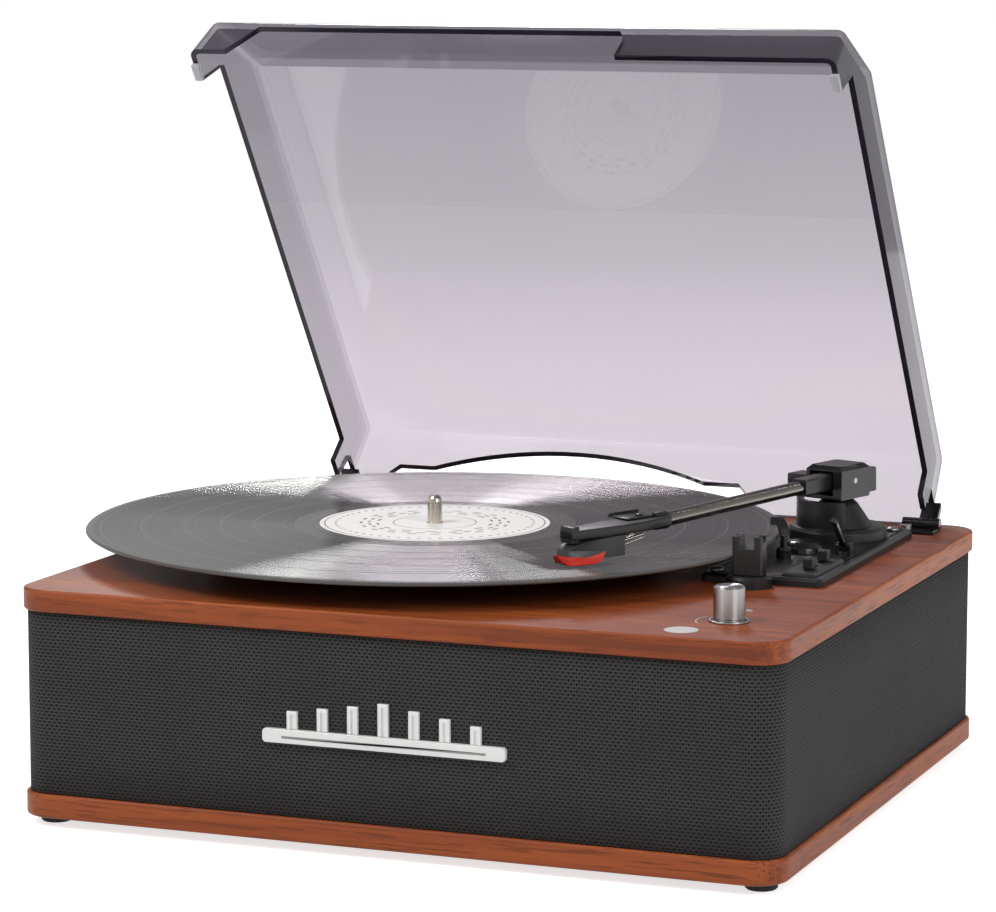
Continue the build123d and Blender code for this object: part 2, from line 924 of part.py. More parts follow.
def make_belt():
    level = Pos(0, 0, deck + belt_height)
    outside = extrude(level * belt_region(loose_gap + belt_thickness), amount=belt_width)
    inside = extrude(level * belt_region(loose_gap), amount=belt_width)
    return outside - inside


def make_motor_case():
    low = board_underside - motor_height
    case = post(motor_x, motor_y, low, motor_radius, motor_height)
    case = fillet(case.edges().group_by(Axis.Z)[0], 1.5)
    ears = Pos(motor_x, motor_y, board_underside - motor_ear_thickness) * Rot(0, 0, degrees(atan2(-0.6, 0.8)))
    case += ears * extrude(SlotCenterToCenter(2 * motor_ear_reach, 9.0), amount=motor_ear_thickness)
    case += post(motor_x, motor_y, board_underside, motor_boss_radius, top_board_thickness - 1.0)
    for x, y in motor_screw_places:
        case -= post(x, y, board_underside - motor_ear_thickness, screw_radius, motor_ear_thickness)
    return case - post(motor_x, motor_y, low + 4, motor_shaft_radius + running_gap, cabinet_depth)


shaft_bottom = board_underside - motor_height + 4 + loose_gap
pulley_bottom = belt_height - loose_gap - pulley_flange_thickness
pulley_top = belt_height + belt_width + loose_gap + pulley_flange_thickness


def make_motor_shaft():
    return post(motor_x, motor_y, shaft_bottom, motor_shaft_radius, deck + pulley_top - shaft_bottom)


def make_motor_pulley():
    outline = [
        (motor_shaft_radius, pulley_bottom),
        (pulley_flange_radius, pulley_bottom),
        (pulley_flange_radius, pulley_bottom + pulley_flange_thickness),
        (pulley_radius, pulley_bottom + pulley_flange_thickness),
        (pulley_radius, pulley_top - pulley_flange_thickness),
        (pulley_flange_radius, pulley_top - pulley_flange_thickness),
        (pulley_flange_radius, pulley_top),
        (motor_shaft_radius, pulley_top),
    ]
    return lathe(outline, motor_x, motor_y, deck)


# Arm plate
def plate_outline():
    corners = [
        (plate_left, plate_front),
        (plate_right, plate_front),
        (plate_right, plate_rear - plate_rear_cut),
        (plate_right - plate_rear_cut * 0.7, plate_rear),
        (plate_left, plate_rear),
    ]
    return make_face(Polyline(*corners, close=True))


panel_top = plate_thickness + panel_rise


def make_arm_plate():
    plate = extrude(Pos(0, 0, deck) * plate_outline(), amount=plate_thickness)
    plate = fillet(plate.edges().filter_by(Axis.Z), 3.0)
    plate = chamfer(plate.edges().group_by(Axis.Z)[-1], plate_bevel)
    outer = offset(plate_outline(), -groove_inset)
    inner = offset(plate_outline(), -groove_inset - groove_width)
    plate -= extrude(Pos(0, 0, deck + plate_thickness - groove_depth) * (outer - inner), amount=groove_depth)
    raised = block(panel_left, panel_right, panel_front, panel_rear, deck + plate_thickness - groove_depth,
                   deck + panel_top)
    plate += chamfer(raised.edges().group_by(Axis.Z)[-1], 0.8)
    collar = post(rest_x, rest_y, deck, rest_collar_radius, rest_collar_height)
    plate += chamfer(collar.edges().group_by(Axis.Z)[-1], 1.2)
    for y, travel in ((speed_switch_y, speed_switch_travel), (stop_switch_y, -stop_switch_travel)):
        low = min(y, y + travel) - switch_stem_length / 2 - loose_gap
        high = max(y, y + travel) + switch_stem_length / 2 + loose_gap
        half = switch_slot_width / 2
        left = speed_switch_x - half
        plate -= block(left, left + 2 * half, low, high, deck + switch_slot_floor, deck + panel_top)
    for x, y in plate_screw_places:
        plate -= post(x, y, deck, screw_radius, plate_thickness)
    plate -= post(lifter_x, lifter_y, deck + 0.6, lifter_stem_radius + running_gap, plate_thickness)
    plate -= post(arm_x, arm_y, deck + 0.6, yoke_pin_radius + running_gap, plate_thickness)
    return plate


def make_arm_plate_screws():
    places = plate_screw_places
    return [screw(x, y, deck + plate_thickness, wood_screw_bite + plate_thickness) for x, y in places]


def make_switch_knob(y):
    half = switch_stem_width / 2
    stem = block(
        speed_switch_x - half,
        speed_switch_x + half,
        y - switch_stem_length / 2,
        y + switch_stem_length / 2,
        deck + switch_slot_floor + loose_gap,
        deck + panel_top + loose_gap,
    )
    low = deck + panel_top + loose_gap
    cap = Box(switch_knob_width, switch_knob_length, switch_knob_height, align=LOW)
    cap = Pos(speed_switch_x, y, low) * cap
    cap = chamfer(cap.edges().group_by(Axis.Z)[-1], 0.5)
    return stem + cap


def make_arm_rest():
    low = deck + rest_collar_height
    body = Pos(rest_x, rest_y, low) * Box(rest_width, rest_depth, rest_top - rest_collar_height, align=LOW)
    body = chamfer(body.edges().filter_by(Axis.Z), 0.8)
    body -= Pos(rest_x, rest_y, deck + rest_slot_floor) * Box(
        rest_slot_width, 2 * rest_depth, rest_top, align=LOW
    )
    for side in (-1, 1):
        notch_x = rest_x + side * (rest_width / 2 - 0.6)
        body -= Pos(notch_x, rest_y, deck + rest_top - 2.4) * Box(3.0, rest_depth - 4.4, rest_top, align=LOW)
    return body


# Tonearm: a frame whose +X runs from the pivot to the headshell, +Y to the arm's right
arm_turn = Pos(arm_x, arm_y, deck) * Rot(0, 0, -90 - arm_angle)
arm_tilt = arm_turn * Pos(0, 0, arm_axis_height) * Rot(0, arm_droop, 0)
shell_frame = arm_tilt * Pos(neck_reach, 0, 0) * Rot(0, 0, -headshell_offset)


def make_arm_pivot_base():
    outline = [
        (yoke_pin_radius + running_gap, plate_thickness),
        (ring_radius, plate_thickness),
        (ring_radius, ring_top - 1.4),
        (ring_radius - 1.4, ring_top),
        (cone_base_radius, ring_top),
        (cone_top_radius + 1.1, cone_top - 2.3),
        (cone_top_radius, cone_top - 1.4),
        (cone_top_radius - 1.1, cone_top),
        (yoke_pin_radius + running_gap, cone_top),
    ]
    base = lathe(outline, arm_x, arm_y, deck)
    guard = post(arm_x, arm_y, deck + ring_top - 1.0, guard_outer_radius, guard_top - ring_top + 1.0)
    guard -= post(arm_x, arm_y, deck, guard_outer_radius - guard_wall, cabinet_depth)
    reach = 3 * guard_outer_radius
    middle = (guard_start + guard_end) / 2
    half = (guard_end - guard_start) / 2
    corners = [(0.0, 0.0)]
    for turn in (-half, -half / 3, half / 3, half):
        angle = radians(middle + turn)
        corners.append((reach * cos(angle), reach * sin(angle)))
    wedge = Pos(arm_x, arm_y, deck) * extrude(make_face(Polyline(*corners, close=True)), amount=guard_top)
    return base + (guard & wedge)


cheek_inside = yoke_half_width - yoke_cheek


def make_arm_yoke():
    length = 2 * yoke_half_length
    width = 2 * yoke_half_width
    body = Pos(0, 0, yoke_bottom) * Box(length, width, yoke_top - yoke_bottom, align=LOW)
    body = chamfer(body.faces().sort_by(Axis.Z)[-1].edges(), yoke_bevel)
    inside_low = yoke_bottom + yoke_floor
    inside_high = yoke_top - yoke_roof
    body -= block(-length, yoke_half_length - 1.6, -cheek_inside, cheek_inside, inside_low, inside_high)
    sleeve_side = sleeve_size / 2 + 1.0
    body -= block(0, length, -cheek_inside, sleeve_side, inside_low, inside_high)
    wing = block(-wing_length / 2, wing_length / 2, -wing_reach, -yoke_half_width, wing_bottom, wing_top)
    body += chamfer(wing.faces().sort_by(Axis.Y)[0].edges(), 0.9)
    body += post(0, 0, yoke_bottom - yoke_pin_length, yoke_pin_radius, yoke_pin_length)
    pin_hole = Pos(0, 0, arm_axis_height) * Rot(90, 0, 0) * Cylinder(tilt_pin_radius, 2 * wing_reach)
    body -= pin_hole & block(-5, 5, -yoke_half_width, yoke_half_width, 0, yoke_top)
    return arm_turn * body


def make_tilt_pins():
    inner = cheek_inside - tilt_pin_reach
    outer = yoke_half_width
    pins = []
    for side in (-1, 1):
        middle = side * (inner + outer) / 2
        pin = Pos(0, middle, arm_axis_height) * Rot(90, 0, 0) * Cylinder(tilt_pin_radius, outer - inner)
        pins.append(arm_turn * pin)
    return pins


holder_half_width = cheek_inside - holder_gap


def make_tube_holder():
    holder = block(
        holder_rear,
        holder_front,
        -holder_half_width,
        holder_half_width,
        holder_bottom,
        holder_bottom + holder_height,
    )
    sleeve = block(
        holder_front,
        holder_front + sleeve_length,
        -sleeve_size / 2,
        sleeve_size / 2,
        -sleeve_size / 2,
        sleeve_size / 2,
    )
    sleeve = chamfer(sleeve.edges().filter_by(Axis.X), 0.9)
    holder += sleeve
    tube_seat = Rot(0, 90, 0) * Cylinder(tube_radius, cabinet_depth, align=LOW)
    holder -= tube_seat
    pin_bore = Rot(90, 0, 0) * Cylinder(tilt_pin_radius + running_gap, 2 * holder_half_width)
    keep = block(-3, 3, -cheek_inside + tilt_pin_reach + 0.1, cheek_inside - tilt_pin_reach - 0.1, -3, 3)
    return arm_tilt * (holder - (pin_bore - keep))


def make_arm_tube():
    length = neck_reach + 2.0
    tube = Rot(0, 90, 0) * Cylinder(tube_radius, length, align=LOW)
    return arm_tilt * (tube - Rot(0, 90, 0) * Cylinder(tube_radius - 0.5, length, align=LOW))


def make_counterweight():
    low = weight_bottom - arm_axis_height
    high = weight_top - arm_axis_height
    weight = block(holder_rear - weight_length, holder_rear, -weight_half_width, weight_half_width, low, high)
    weight = chamfer(weight.faces().sort_by(Axis.X)[0].edges(), 1.0)
    return arm_tilt * weight


shell_bottom = -2.0
shell_top = shell_bottom + headshell_thickness + 0.9


def make_headshell():
    """A slim tapering plate with a pocket for the cartridge's seat, a nose block and the tube's collar."""
    half = headshell_width / 2
    nose = headshell_length
    nose_half = headshell_nose_width / 2
    outline = [
        (0.0, -neck_collar_radius),
        (headshell_taper, -half),
        (headshell_waist, -half),
        (nose, -nose_half),
        (nose, nose_half),
        (headshell_waist, half),
        (headshell_taper, half),
        (0.0, neck_collar_radius),
    ]
    face = Pos(0, 0, shell_bottom) * make_face(Polyline(*outline, close=True))
    plate = extrude(face, amount=shell_top - shell_bottom)
    plate = chamfer(plate.edges().group_by(Axis.Z)[-1], 0.8)
    nose_low, nose_high = shell_bottom - headshell_nose_rise, shell_top + headshell_nose_rise
    plate += block(nose - headshell_nose_length, nose, -nose_half, nose_half, nose_low, nose_high)
    plate -= block(cartridge_rear - loose_gap, cartridge_seat_front + loose_gap, headshell_lip - half,
                   half - headshell_lip, shell_bottom, shell_top - headshell_lip)
    collar = Rot(0, -90, 0) * Cylinder(neck_collar_radius, neck_collar_length, align=LOW)
    shell = plate + collar
    tube_way = Rot(0, 0, headshell_offset) * Rot(0, -90, 0) * Cylinder(tube_radius, neck_reach, align=LOW)
    tube_end = Rot(0, 0, headshell_offset) * Rot(0, 90, 0) * Cylinder(tube_radius, 2.0, align=LOW)
    return shell_frame * (shell - tube_way - tube_end)


def make_finger_lift():
    """A thin plate on top of the headshell that reaches out to its left and turns up at the end."""
    strip = block(finger_rear, finger_front, -finger_reach, 1.0, shell_top, shell_top + finger_thickness)
    lip = block(finger_rear, finger_front, -finger_reach - finger_thickness, -finger_reach, shell_top,
                shell_top + finger_rise)
    screw_place = (finger_rear + finger_front) / 2
    screw_head = post(screw_place, -2.5, shell_top + finger_thickness, 1.9, 1.0)
    return shell_frame * (strip + lip + screw_head)


def side_plate(outline, half_width):
    """An outline in the headshell's X and Z, as thick to one side of its middle as to the other."""
    face = make_face(Plane.XZ * Polyline(*outline, close=True))
    return extrude(face, amount=half_width, both=True)


def make_cartridge():
    """The cartridge: its seat fills the shell's pocket, and its wedge reaches forward below a gap."""
    top = shell_top - headshell_lip
    half_seat = headshell_width / 2 - headshell_lip - loose_gap
    seat = block(cartridge_rear, cartridge_seat_front, -half_seat, half_seat, shell_bottom, top)
    side = [
        (cartridge_rear, shell_bottom),
        (cartridge_rear, cartridge_heel_bottom),
        (stylus_body_rear - 1.0, cartridge_heel_bottom),
        (stylus_body_rear, cartridge_bottom),
        (cartridge_front, cartridge_bottom),
        (cartridge_front - 0.4, cartridge_bottom + 2.2),
        (cartridge_seat_front + 9.0, cartridge_bottom + 3.4),
        (cartridge_seat_front, shell_bottom - 0.6),
        (cartridge_seat_front, shell_bottom),
    ]
    return shell_frame * (seat + side_plate(side, cartridge_half_width))


def make_cartridge_pins():
    """Four contact pins, in two rows, that stick out of the cartridge's rear face."""
    pins = []
    for across in (-cartridge_pin_across, cartridge_pin_across):
        for rise in cartridge_pin_rows:
            pin = Pos(cartridge_rear, across, cartridge_bottom + rise) * Rot(0, -90, 0)
            pins.append(shell_frame * (pin * Cylinder(cartridge_pin_radius, cartridge_pin_length, align=LOW)))
    return pins


tip_drop = (record_top + stylus_clearance - deck - arm_axis_height) / cos(radians(arm_droop))
tip_drop += tan(radians(arm_droop)) * (neck_reach + stylus_reach * cos(radians(headshell_offset)))


def make_stylus():
    """The red stylus assembly: a wedge under the cartridge and the tip that rides the groove."""
    side = [
        (stylus_body_front, cartridge_bottom),
        (stylus_body_front - 4.0, stylus_body_bottom + 0.5),
        (stylus_body_rear + 5.6, stylus_body_bottom),
        (stylus_body_rear + 2.3, stylus_body_bottom + 0.9),
        (stylus_body_rear, cartridge_bottom),
    ]
    wedge = side_plate(side, cartridge_half_width)
    low_here = stylus_body_bottom + 0.3
    tip = Pos(stylus_reach, 0, tip_drop) * Cone(0.12, stylus_tip_radius, low_here - tip_drop, align=LOW)
    return shell_frame * (wedge + tip)


# Arm lifter
def make_cue_housing():
    dome_outline = [
        (0.0, plate_thickness),
        (cue_dome_radius, plate_thickness),
        (cue_dome_radius - 0.5, plate_thickness + 2.2),
        (cue_dome_radius - 2.2, cue_dome_height - 1.0),
        (cue_dome_radius - 4.0, cue_dome_height),
        (0.0, cue_dome_height),
    ]
    dome = lathe(dome_outline, cue_x, cue_y, deck)
    boss_height = lifter_boss_top - plate_thickness
    boss = post(lifter_x, lifter_y, deck + plate_thickness, lifter_boss_radius, boss_height)
    boss = chamfer(boss.edges().group_by(Axis.Z)[-1], 0.6)
    boss -= post(lifter_x, lifter_y, deck, lifter_stem_radius + running_gap, cabinet_depth)
    ears = []
    for side in (-1, 1):
        x = lever_x + side * (lever_width / 2 + loose_gap + lever_ear_thickness / 2)
        ear = block(x - lever_ear_thickness / 2, x + lever_ear_thickness / 2, lever_y - 2.4, lever_y + 2.4,
                    deck + plate_thickness, deck + lever_axis_height + 2.2)
        ear = fillet(ear.edges().filter_by(Axis.X).group_by(Axis.Z)[-1], 1.6)
        bore = Pos(x, lever_y, deck + lever_axis_height) * Rot(0, 90, 0)
        ears.append(ear - bore * Cylinder(lever_axle_radius + running_gap, 2 * lever_ear_thickness))
    return dome, boss, *ears


def make_cue_lever():
    axis = Pos(lever_x, lever_y, deck + lever_axis_height)
    axle_length = lever_width + 2 * (loose_gap + lever_ear_thickness)
    lever = Rot(0, 90, 0) * Cylinder(lever_axle_radius, axle_length)
    lever += Rot(0, 90, 0) * Cylinder(lever_axle_radius + 1.0, lever_width)
    stick = Rot(90 - lever_elevation, 0, 0) * Box(lever_width - 0.8, lever_thickness, lever_length, align=LOW)
    lever += stick
    ball = Rot(90 - lever_elevation, 0, 0) * Pos(0, 0, lever_length) * Sphere(lever_ball_radius)
    return axis * (lever + ball)


def make_cue_lift():
    """The curved finger that raises the arm, on a stem that slides in its boss."""
    bend = (lifter_inner_radius + lifter_outer_radius) / 2
    hook = Rot(90, 0, 0) * (
        Cylinder(lifter_outer_radius, lifter_thickness) - Cylinder(lifter_inner_radius, lifter_thickness)
    )
    hook -= block(-20, 20, -20, 20, -20, 0)
    hook -= block(lifter_inner_radius * 0.55, 20, -20, 20, -20, lifter_inner_radius * 0.8)
    hook -= Pos(bend * 0.55, 0, 0) * block(0, 20, -20, 20, -20, 20)
    place = Pos(lifter_x, lifter_y, deck + lifter_centre_z) * Rot(0, 0, lifter_turn) * Pos(bend, 0, 0)
    stem_low = deck + 0.6 + loose_gap
    stem = post(lifter_x, lifter_y, stem_low, lifter_stem_radius, deck + lifter_centre_z + 0.6 - stem_low)
    return place * hook + stem


# Dust cover, drawn closed and then swung open about its hinge line
def cover_form(wall):
    """The cover's closed outer form, or its inner form when a wall is taken off."""
    rear = cover_rear - wall
    crease = cover_rear - cover_rear_crease - wall
    top = cover_height - wall
    front = cover_rear - cover_length + wall
    bevel_y = front + cover_bevel_run
    arris = cover_height - cover_bevel_drop - wall * 0.6
    outline = [
        (rear, rear_wall_bottom),
        (rear, -1.0),
        (front - cover_front_slope, -1.0),
        (front - cover_front_slope, 0.0),
        (front, arris),
        (bevel_y, top),
        (crease, top),
    ]
    low_half = cover_half_width_bottom - wall
    high_half = cover_half_width_top - wall
    profile = side_prism([(y, deck + z) for y, z in outline], -cabinet_width / 2, cabinet_width / 2)
    across = [
        (-low_half, deck - 1.0),
        (low_half, deck - 1.0),
        (high_half, deck + top),
        (-high_half, deck + top),
    ]
    face = make_face(Plane.XZ * Polyline(*across, close=True))
    tapered = Pos(0, cabinet_depth, 0) * extrude(face, amount=2 * cabinet_depth)
    form = profile & tapered
    rounding = max(cover_edge_round - wall, 1.0)
    high = [e for e in form.edges() if e.center().Z > deck + 3.0]
    return fillet(high, rounding)


def cover_open(shape):
    """Swing a closed shape back to the open rest."""
    return Pos(0, hinge_y, hinge_z) * Rot(-cover_open_angle, 0, 0) * Pos(0, -hinge_y, -hinge_z) * shape


cover_front = cover_rear - cover_length - cover_front_slope


def make_dust_cover_closed():
    shell = cover_form(0.0) - cover_form(cover_wall)
    span = cabinet_width / 2 + 5
    low = deck - 5
    foot_rear = cover_front + front_foot_length
    slope_rear = foot_rear + front_foot_slope
    rear_foot = cover_rear - rear_foot_length
    side_gap = [
        (foot_rear, low),
        (foot_rear, deck + cover_foot),
        (slope_rear, deck + cover_rim),
        (rear_foot - 2.0, deck + cover_rim),
        (rear_foot, deck + rear_chamfer_n + 4.0),
        (cover_rear - rear_chamfer_d, deck + rear_chamfer_n + 4.0),
        (cover_rear - rear_chamfer_d, low),
    ]
    shell -= side_prism(side_gap, -span, span)
    shell -= block(-span, span, cover_front - 5, cover_rear + 5, low, deck + cover_foot)
    heel = [
        (cover_rear + 5, low),
        (cover_rear - rear_chamfer_d - 1.0, low),
        (cover_rear - rear_chamfer_d - 1.0, deck + rear_chamfer_n - 1.0),
        (cover_rear - rear_chamfer_d, deck + rear_chamfer_n),
        (cover_rear, deck + rear_wall_bottom),
        (cover_rear + 5, deck + rear_wall_bottom),
    ]
    shell -= side_prism(heel, -span, span)
    front_cut = [
        (front_gap_left, low),
        (front_gap_right, low),
        (front_gap_right, deck + cover_rim - 6.0),
        (front_gap_right - 3.0, deck + cover_rim),
        (front_gap_left + 9.0, deck + cover_rim),
        (front_gap_left, deck + cover_foot),
    ]
    face = make_face(Plane.XZ * Polyline(*front_cut, close=True))
    shell -= Pos(0, cover_front + 12, 0) * extrude(face, amount=30)
    arch = Pos(arch_x, cover_rear - 12, deck + arch_top - arch_radius) * Rot(-90, 0, 0)
    arch_cut = arch * Cylinder(arch_radius, 30, align=LOW)
    shell -= arch_cut & block(-span, span, cover_rear - 20, cover_rear + 20, deck + arch_shoulder - 1.0,
                              deck + cover_height)
    shoulder = deck + arch_shoulder
    foot_left, foot_right = arch_x - arch_foot_half, arch_x + arch_foot_half
    notch = [
        (foot_left, low),
        (foot_left, shoulder - arch_corner),
        (foot_left + arch_corner, shoulder),
        (foot_right - arch_corner, shoulder),
        (foot_right, shoulder - arch_corner),
        (foot_right, low),
    ]
    face = make_face(Plane.XZ * Polyline(*notch, close=True))
    shell -= Pos(0, cover_rear, 0) * extrude(face, amount=12, both=True)
    inner_lean = cover_rear_crease / (cover_height - cover_wall - rear_wall_bottom)
    notch_top = leaf_top + 0.5
    inner_y = cover_rear - cover_wall
    hinge_notch = [
        (hinge_y - knuckle_radius - 1.4, low),
        (hinge_y - knuckle_radius - 1.4, deck + notch_top),
        (inner_y - inner_lean * (notch_top - rear_wall_bottom), deck + notch_top),
        (inner_y, deck + rear_wall_bottom),
        (inner_y, low),
    ]
    shell -= side_prism(hinge_notch, hinge_inner - 0.6, span)
    shell -= side_prism(hinge_notch, -span, 0.6 - hinge_inner)
    return shell


def make_bumpers():
    bumpers = []
    for side in (-1, 1):
        x = side * (cover_half_width_bottom - cover_wall / 2 - 0.2)
        y = cover_front + front_foot_length - bumper_length / 2 - 1.0
        pad = Pos(x, y, deck + loose_gap) * Box(3.4, bumper_length, cover_foot - loose_gap, align=LOW)
        bumpers.append(cover_open(pad))
    return bumpers


# Hinges
def barrel(x0, x1, radius):
    """A cylinder on the hinge line between two places along X."""
    return Pos((x0 + x1) / 2, hinge_y, hinge_z) * Rot(0, 90, 0) * Cylinder(radius, abs(x1 - x0))


def make_hinge_brackets():
    brackets = []
    for side in (-1, 1):
        foot_low = hinge_y - knuckle_radius - 0.4 - bracket_depth
        foot = block(
            min(side * hinge_inner, side * hinge_outer),
            max(side * hinge_inner, side * hinge_outer),
            foot_low,
            hinge_y - knuckle_radius - 0.4,
            deck,
            deck + bracket_thickness,
        )
        foot = chamfer(foot.edges().group_by(Axis.Z)[-1], 0.5)
        for start, stop in (
            (hinge_inner, hinge_inner + hinge_end_knuckle),
            (hinge_outer - hinge_end_knuckle, hinge_outer),
        ):
            foot += barrel(side * start, side * stop, knuckle_radius)
            near = min(side * start, side * stop)
            far = max(side * start, side * stop)
            foot += block(near, far, hinge_y - knuckle_radius - 1.0, hinge_y, deck, deck + bracket_thickness)
        foot -= barrel(side * hinge_inner, side * hinge_outer, hinge_pin_radius)
        foot -= post(side * bracket_screw_x, bracket_screw_y, deck, screw_radius, bracket_thickness)
        brackets.append(foot)
    return brackets


def make_hinge_pins():
    return [barrel(side * hinge_inner, side * hinge_outer, hinge_pin_radius) for side in (-1, 1)]


def make_hinge_leaves():
    leaves = []
    inner = hinge_inner + hinge_end_knuckle + hinge_gap
    outer = hinge_outer - hinge_end_knuckle - hinge_gap
    wall_y = cover_rear - cover_wall - 0.05
    lean = cover_rear_crease / (cover_height - rear_wall_bottom)
    top_y = wall_y - lean * (leaf_top - rear_wall_bottom) - 0.3
    outline = [
        (hinge_y + 1.6, deck + 1.2),
        (hinge_y + 2.6, deck + 2.2),
        (wall_y, deck + rear_chamfer_n + 7.6),
        (wall_y, deck + rear_wall_bottom),
        (top_y, deck + leaf_top),
        (top_y - leaf_thickness, deck + leaf_top),
        (wall_y - leaf_thickness, deck + 12.0),
        (hinge_y - 1.6, deck + 5.1),
    ]
    for side in (-1, 1):
        start = min(side * inner, side * outer)
        stop = max(side * inner, side * outer)
        leaf = side_prism(outline, start, stop)
        leaf += barrel(start, stop, knuckle_radius)
        leaf -= barrel(start, stop, hinge_pin_radius + running_gap)
        leaves.append(cover_open(leaf))
    return leaves


def build():
    save("bottom_board", make_bottom_board())
    save("top_board", make_top_board())
    save("front_baffle", make_front_baffle())
    save("side_panels", *make_side_panels())
    save("rear_panel", make_rear_panel())
    save("corner_posts", *make_corner_posts())
    save("grille_cloth", make_grille_cloth())
    save("rubber_feet", *make_feet())
    save("steel_screws", *make_steel_screws())
    save("badge_bar", make_badge_bar())
    save("badge_posts", *make_badge_posts())
    save("jack_plate", make_jack_plate())
    save("input_jacks", *make_input_jacks())
    save("rca_jacks", *make_rca_jacks())
    left_frame, left_magnet, left_cone = make_speaker(-1)
    right_frame, right_magnet, right_cone = make_speaker(1)
    save("speaker_frames", left_frame, right_frame)
    save("speaker_magnets", left_magnet, right_magnet)
    save("left_speaker_cone", left_cone)
    save("right_speaker_cone", right_cone)
    save("main_board", make_main_board())
    save("board_components", *make_board_components())
    save("volume_pot", make_volume_pot())
    save("knob_collar", make_knob_collar())
    save("volume_shaft", make_volume_shaft())
    save("volume_knob", make_volume_knob())
    save("pilot_lamp", make_lamp())
    save("bearing_bush", make_bearing_bush())
    save("motor_case", make_motor_case())
    save("motor_shaft", make_motor_shaft())
    save("motor_pulley", make_motor_pulley())
    save("drive_belt", make_belt())
    save("platter", make_platter())
    save("platter_mat", make_platter_mat())
    save("spindle", make_spindle())
    save("record", make_record())
    save("record_labels", *make_labels())
    save("arm_plate", make_arm_plate())
    save("arm_plate_screws", *make_arm_plate_screws())
    save("speed_knob", make_switch_knob(speed_switch_y))
    save("auto_stop_knob", make_switch_knob(stop_switch_y))
    save("arm_rest_post", make_arm_rest())
    save("arm_pivot_base", make_arm_pivot_base())
    save("arm_yoke", make_arm_yoke())
    save("tilt_pins", *make_tilt_pins())
    save("tube_holder", make_tube_holder())
    save("arm_tube", make_arm_tube())
    save("counterweight", make_counterweight())
    save("headshell", make_headshell())
    save("finger_lift", make_finger_lift())
    save("cartridge", make_cartridge())
    save("cartridge_pins", *make_cartridge_pins())
    save("stylus", make_stylus())
    save("cue_housing", *make_cue_housing())
    save("cue_lever", make_cue_lever())
    save("cue_lift", make_cue_lift())
    save("dust_cover", cover_open(make_dust_cover_closed()))
    save("cover_bumpers", *make_bumpers())
    save("hinge_leaves", *make_hinge_leaves())
    save("hinge_brackets", *make_hinge_brackets())
    save("hinge_pins", *make_hinge_pins())


build()
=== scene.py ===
# %% [markdown]
# # Dressing a record player
#
# This lesson builds the looks of a small wooden record player round a frame that is already fixed.
# The frame comes from CAD: plain solids, one per sub-part, grouped into bodies that turn and slide.
# Here each solid either gets a better finish or is replaced by a finer piece in the same place, so
# that the lid still swings, the platter still spins and the arm still lifts.
# Blender counts in metres. The pieces below are drawn in millimetres, because that is how such an
# object is measured, and each one is scaled once, when it is finished.

# %% Load the fixed frame
from math import cos, pi, radians, sin, tau

import bmesh
import bpy
from mathutils import Matrix, Vector
from mathutils.bvhtree import BVHTree


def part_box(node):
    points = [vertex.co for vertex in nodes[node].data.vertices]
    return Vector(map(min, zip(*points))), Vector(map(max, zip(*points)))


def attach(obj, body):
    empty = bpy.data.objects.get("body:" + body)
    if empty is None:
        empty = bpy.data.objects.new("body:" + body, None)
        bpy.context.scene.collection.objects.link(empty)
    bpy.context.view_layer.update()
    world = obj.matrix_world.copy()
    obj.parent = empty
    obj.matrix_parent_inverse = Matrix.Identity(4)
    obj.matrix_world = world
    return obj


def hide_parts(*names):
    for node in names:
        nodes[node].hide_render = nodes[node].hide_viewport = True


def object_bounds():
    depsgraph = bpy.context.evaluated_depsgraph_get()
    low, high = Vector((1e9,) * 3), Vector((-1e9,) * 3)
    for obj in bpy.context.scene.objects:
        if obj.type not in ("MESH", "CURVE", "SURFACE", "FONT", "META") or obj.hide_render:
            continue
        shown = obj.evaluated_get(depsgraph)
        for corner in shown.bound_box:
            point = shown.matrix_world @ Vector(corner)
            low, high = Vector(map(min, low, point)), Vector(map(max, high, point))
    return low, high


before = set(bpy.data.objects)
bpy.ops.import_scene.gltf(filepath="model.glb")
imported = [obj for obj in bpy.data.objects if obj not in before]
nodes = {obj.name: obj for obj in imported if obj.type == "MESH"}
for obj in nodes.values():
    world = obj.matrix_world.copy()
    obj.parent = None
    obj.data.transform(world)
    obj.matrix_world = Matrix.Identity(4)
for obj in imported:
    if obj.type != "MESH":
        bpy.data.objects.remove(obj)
cad_low, cad_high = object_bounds()
TO_METRES = Matrix.Scale(0.001, 4)
scene = bpy.context.scene

# %% [markdown]
# The main sizes are read from the frame, so that a piece always fits the solid it stands for.
# The deck is the upper face of the wooden top board, and most heights are counted from it.

# %% Read the main sizes


def low_mm(node):
    """The lowest corner of a solid, in millimetres."""
    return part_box(node)[0] * 1000


def high_mm(node):
    """The highest corner of a solid, in millimetres."""
    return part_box(node)[1] * 1000


deck = high_mm("top_board").z
board_low, board_high = low_mm("top_board"), high_mm("top_board")
cabinet_width = board_high.x - board_low.x
cabinet_depth = board_high.y - board_low.y
record_low, record_high = low_mm("record"), high_mm("record")
platter_x = (record_low.x + record_high.x) / 2
platter_y = (record_low.y + record_high.y) / 2
record_radius = (record_high.x - record_low.x) / 2
print("deck", round(deck, 2), "cabinet", round(cabinet_width), "x", round(cabinet_depth),
      "record radius", round(record_radius, 1))

# %% [markdown]
# ## The camera
#
# The picture was taken from a little above the deck and from the right of the front, with a long
# lens, so upright edges stay nearly parallel. The place and the lens below follow from the known
# width of a 12-inch record and the cabinet's corners.

# %% Set the camera
camera_place = (0.5865, -1.5097, 0.3710)
camera_down = 8.153
camera_turn = 21.54
camera_lens = 137.8

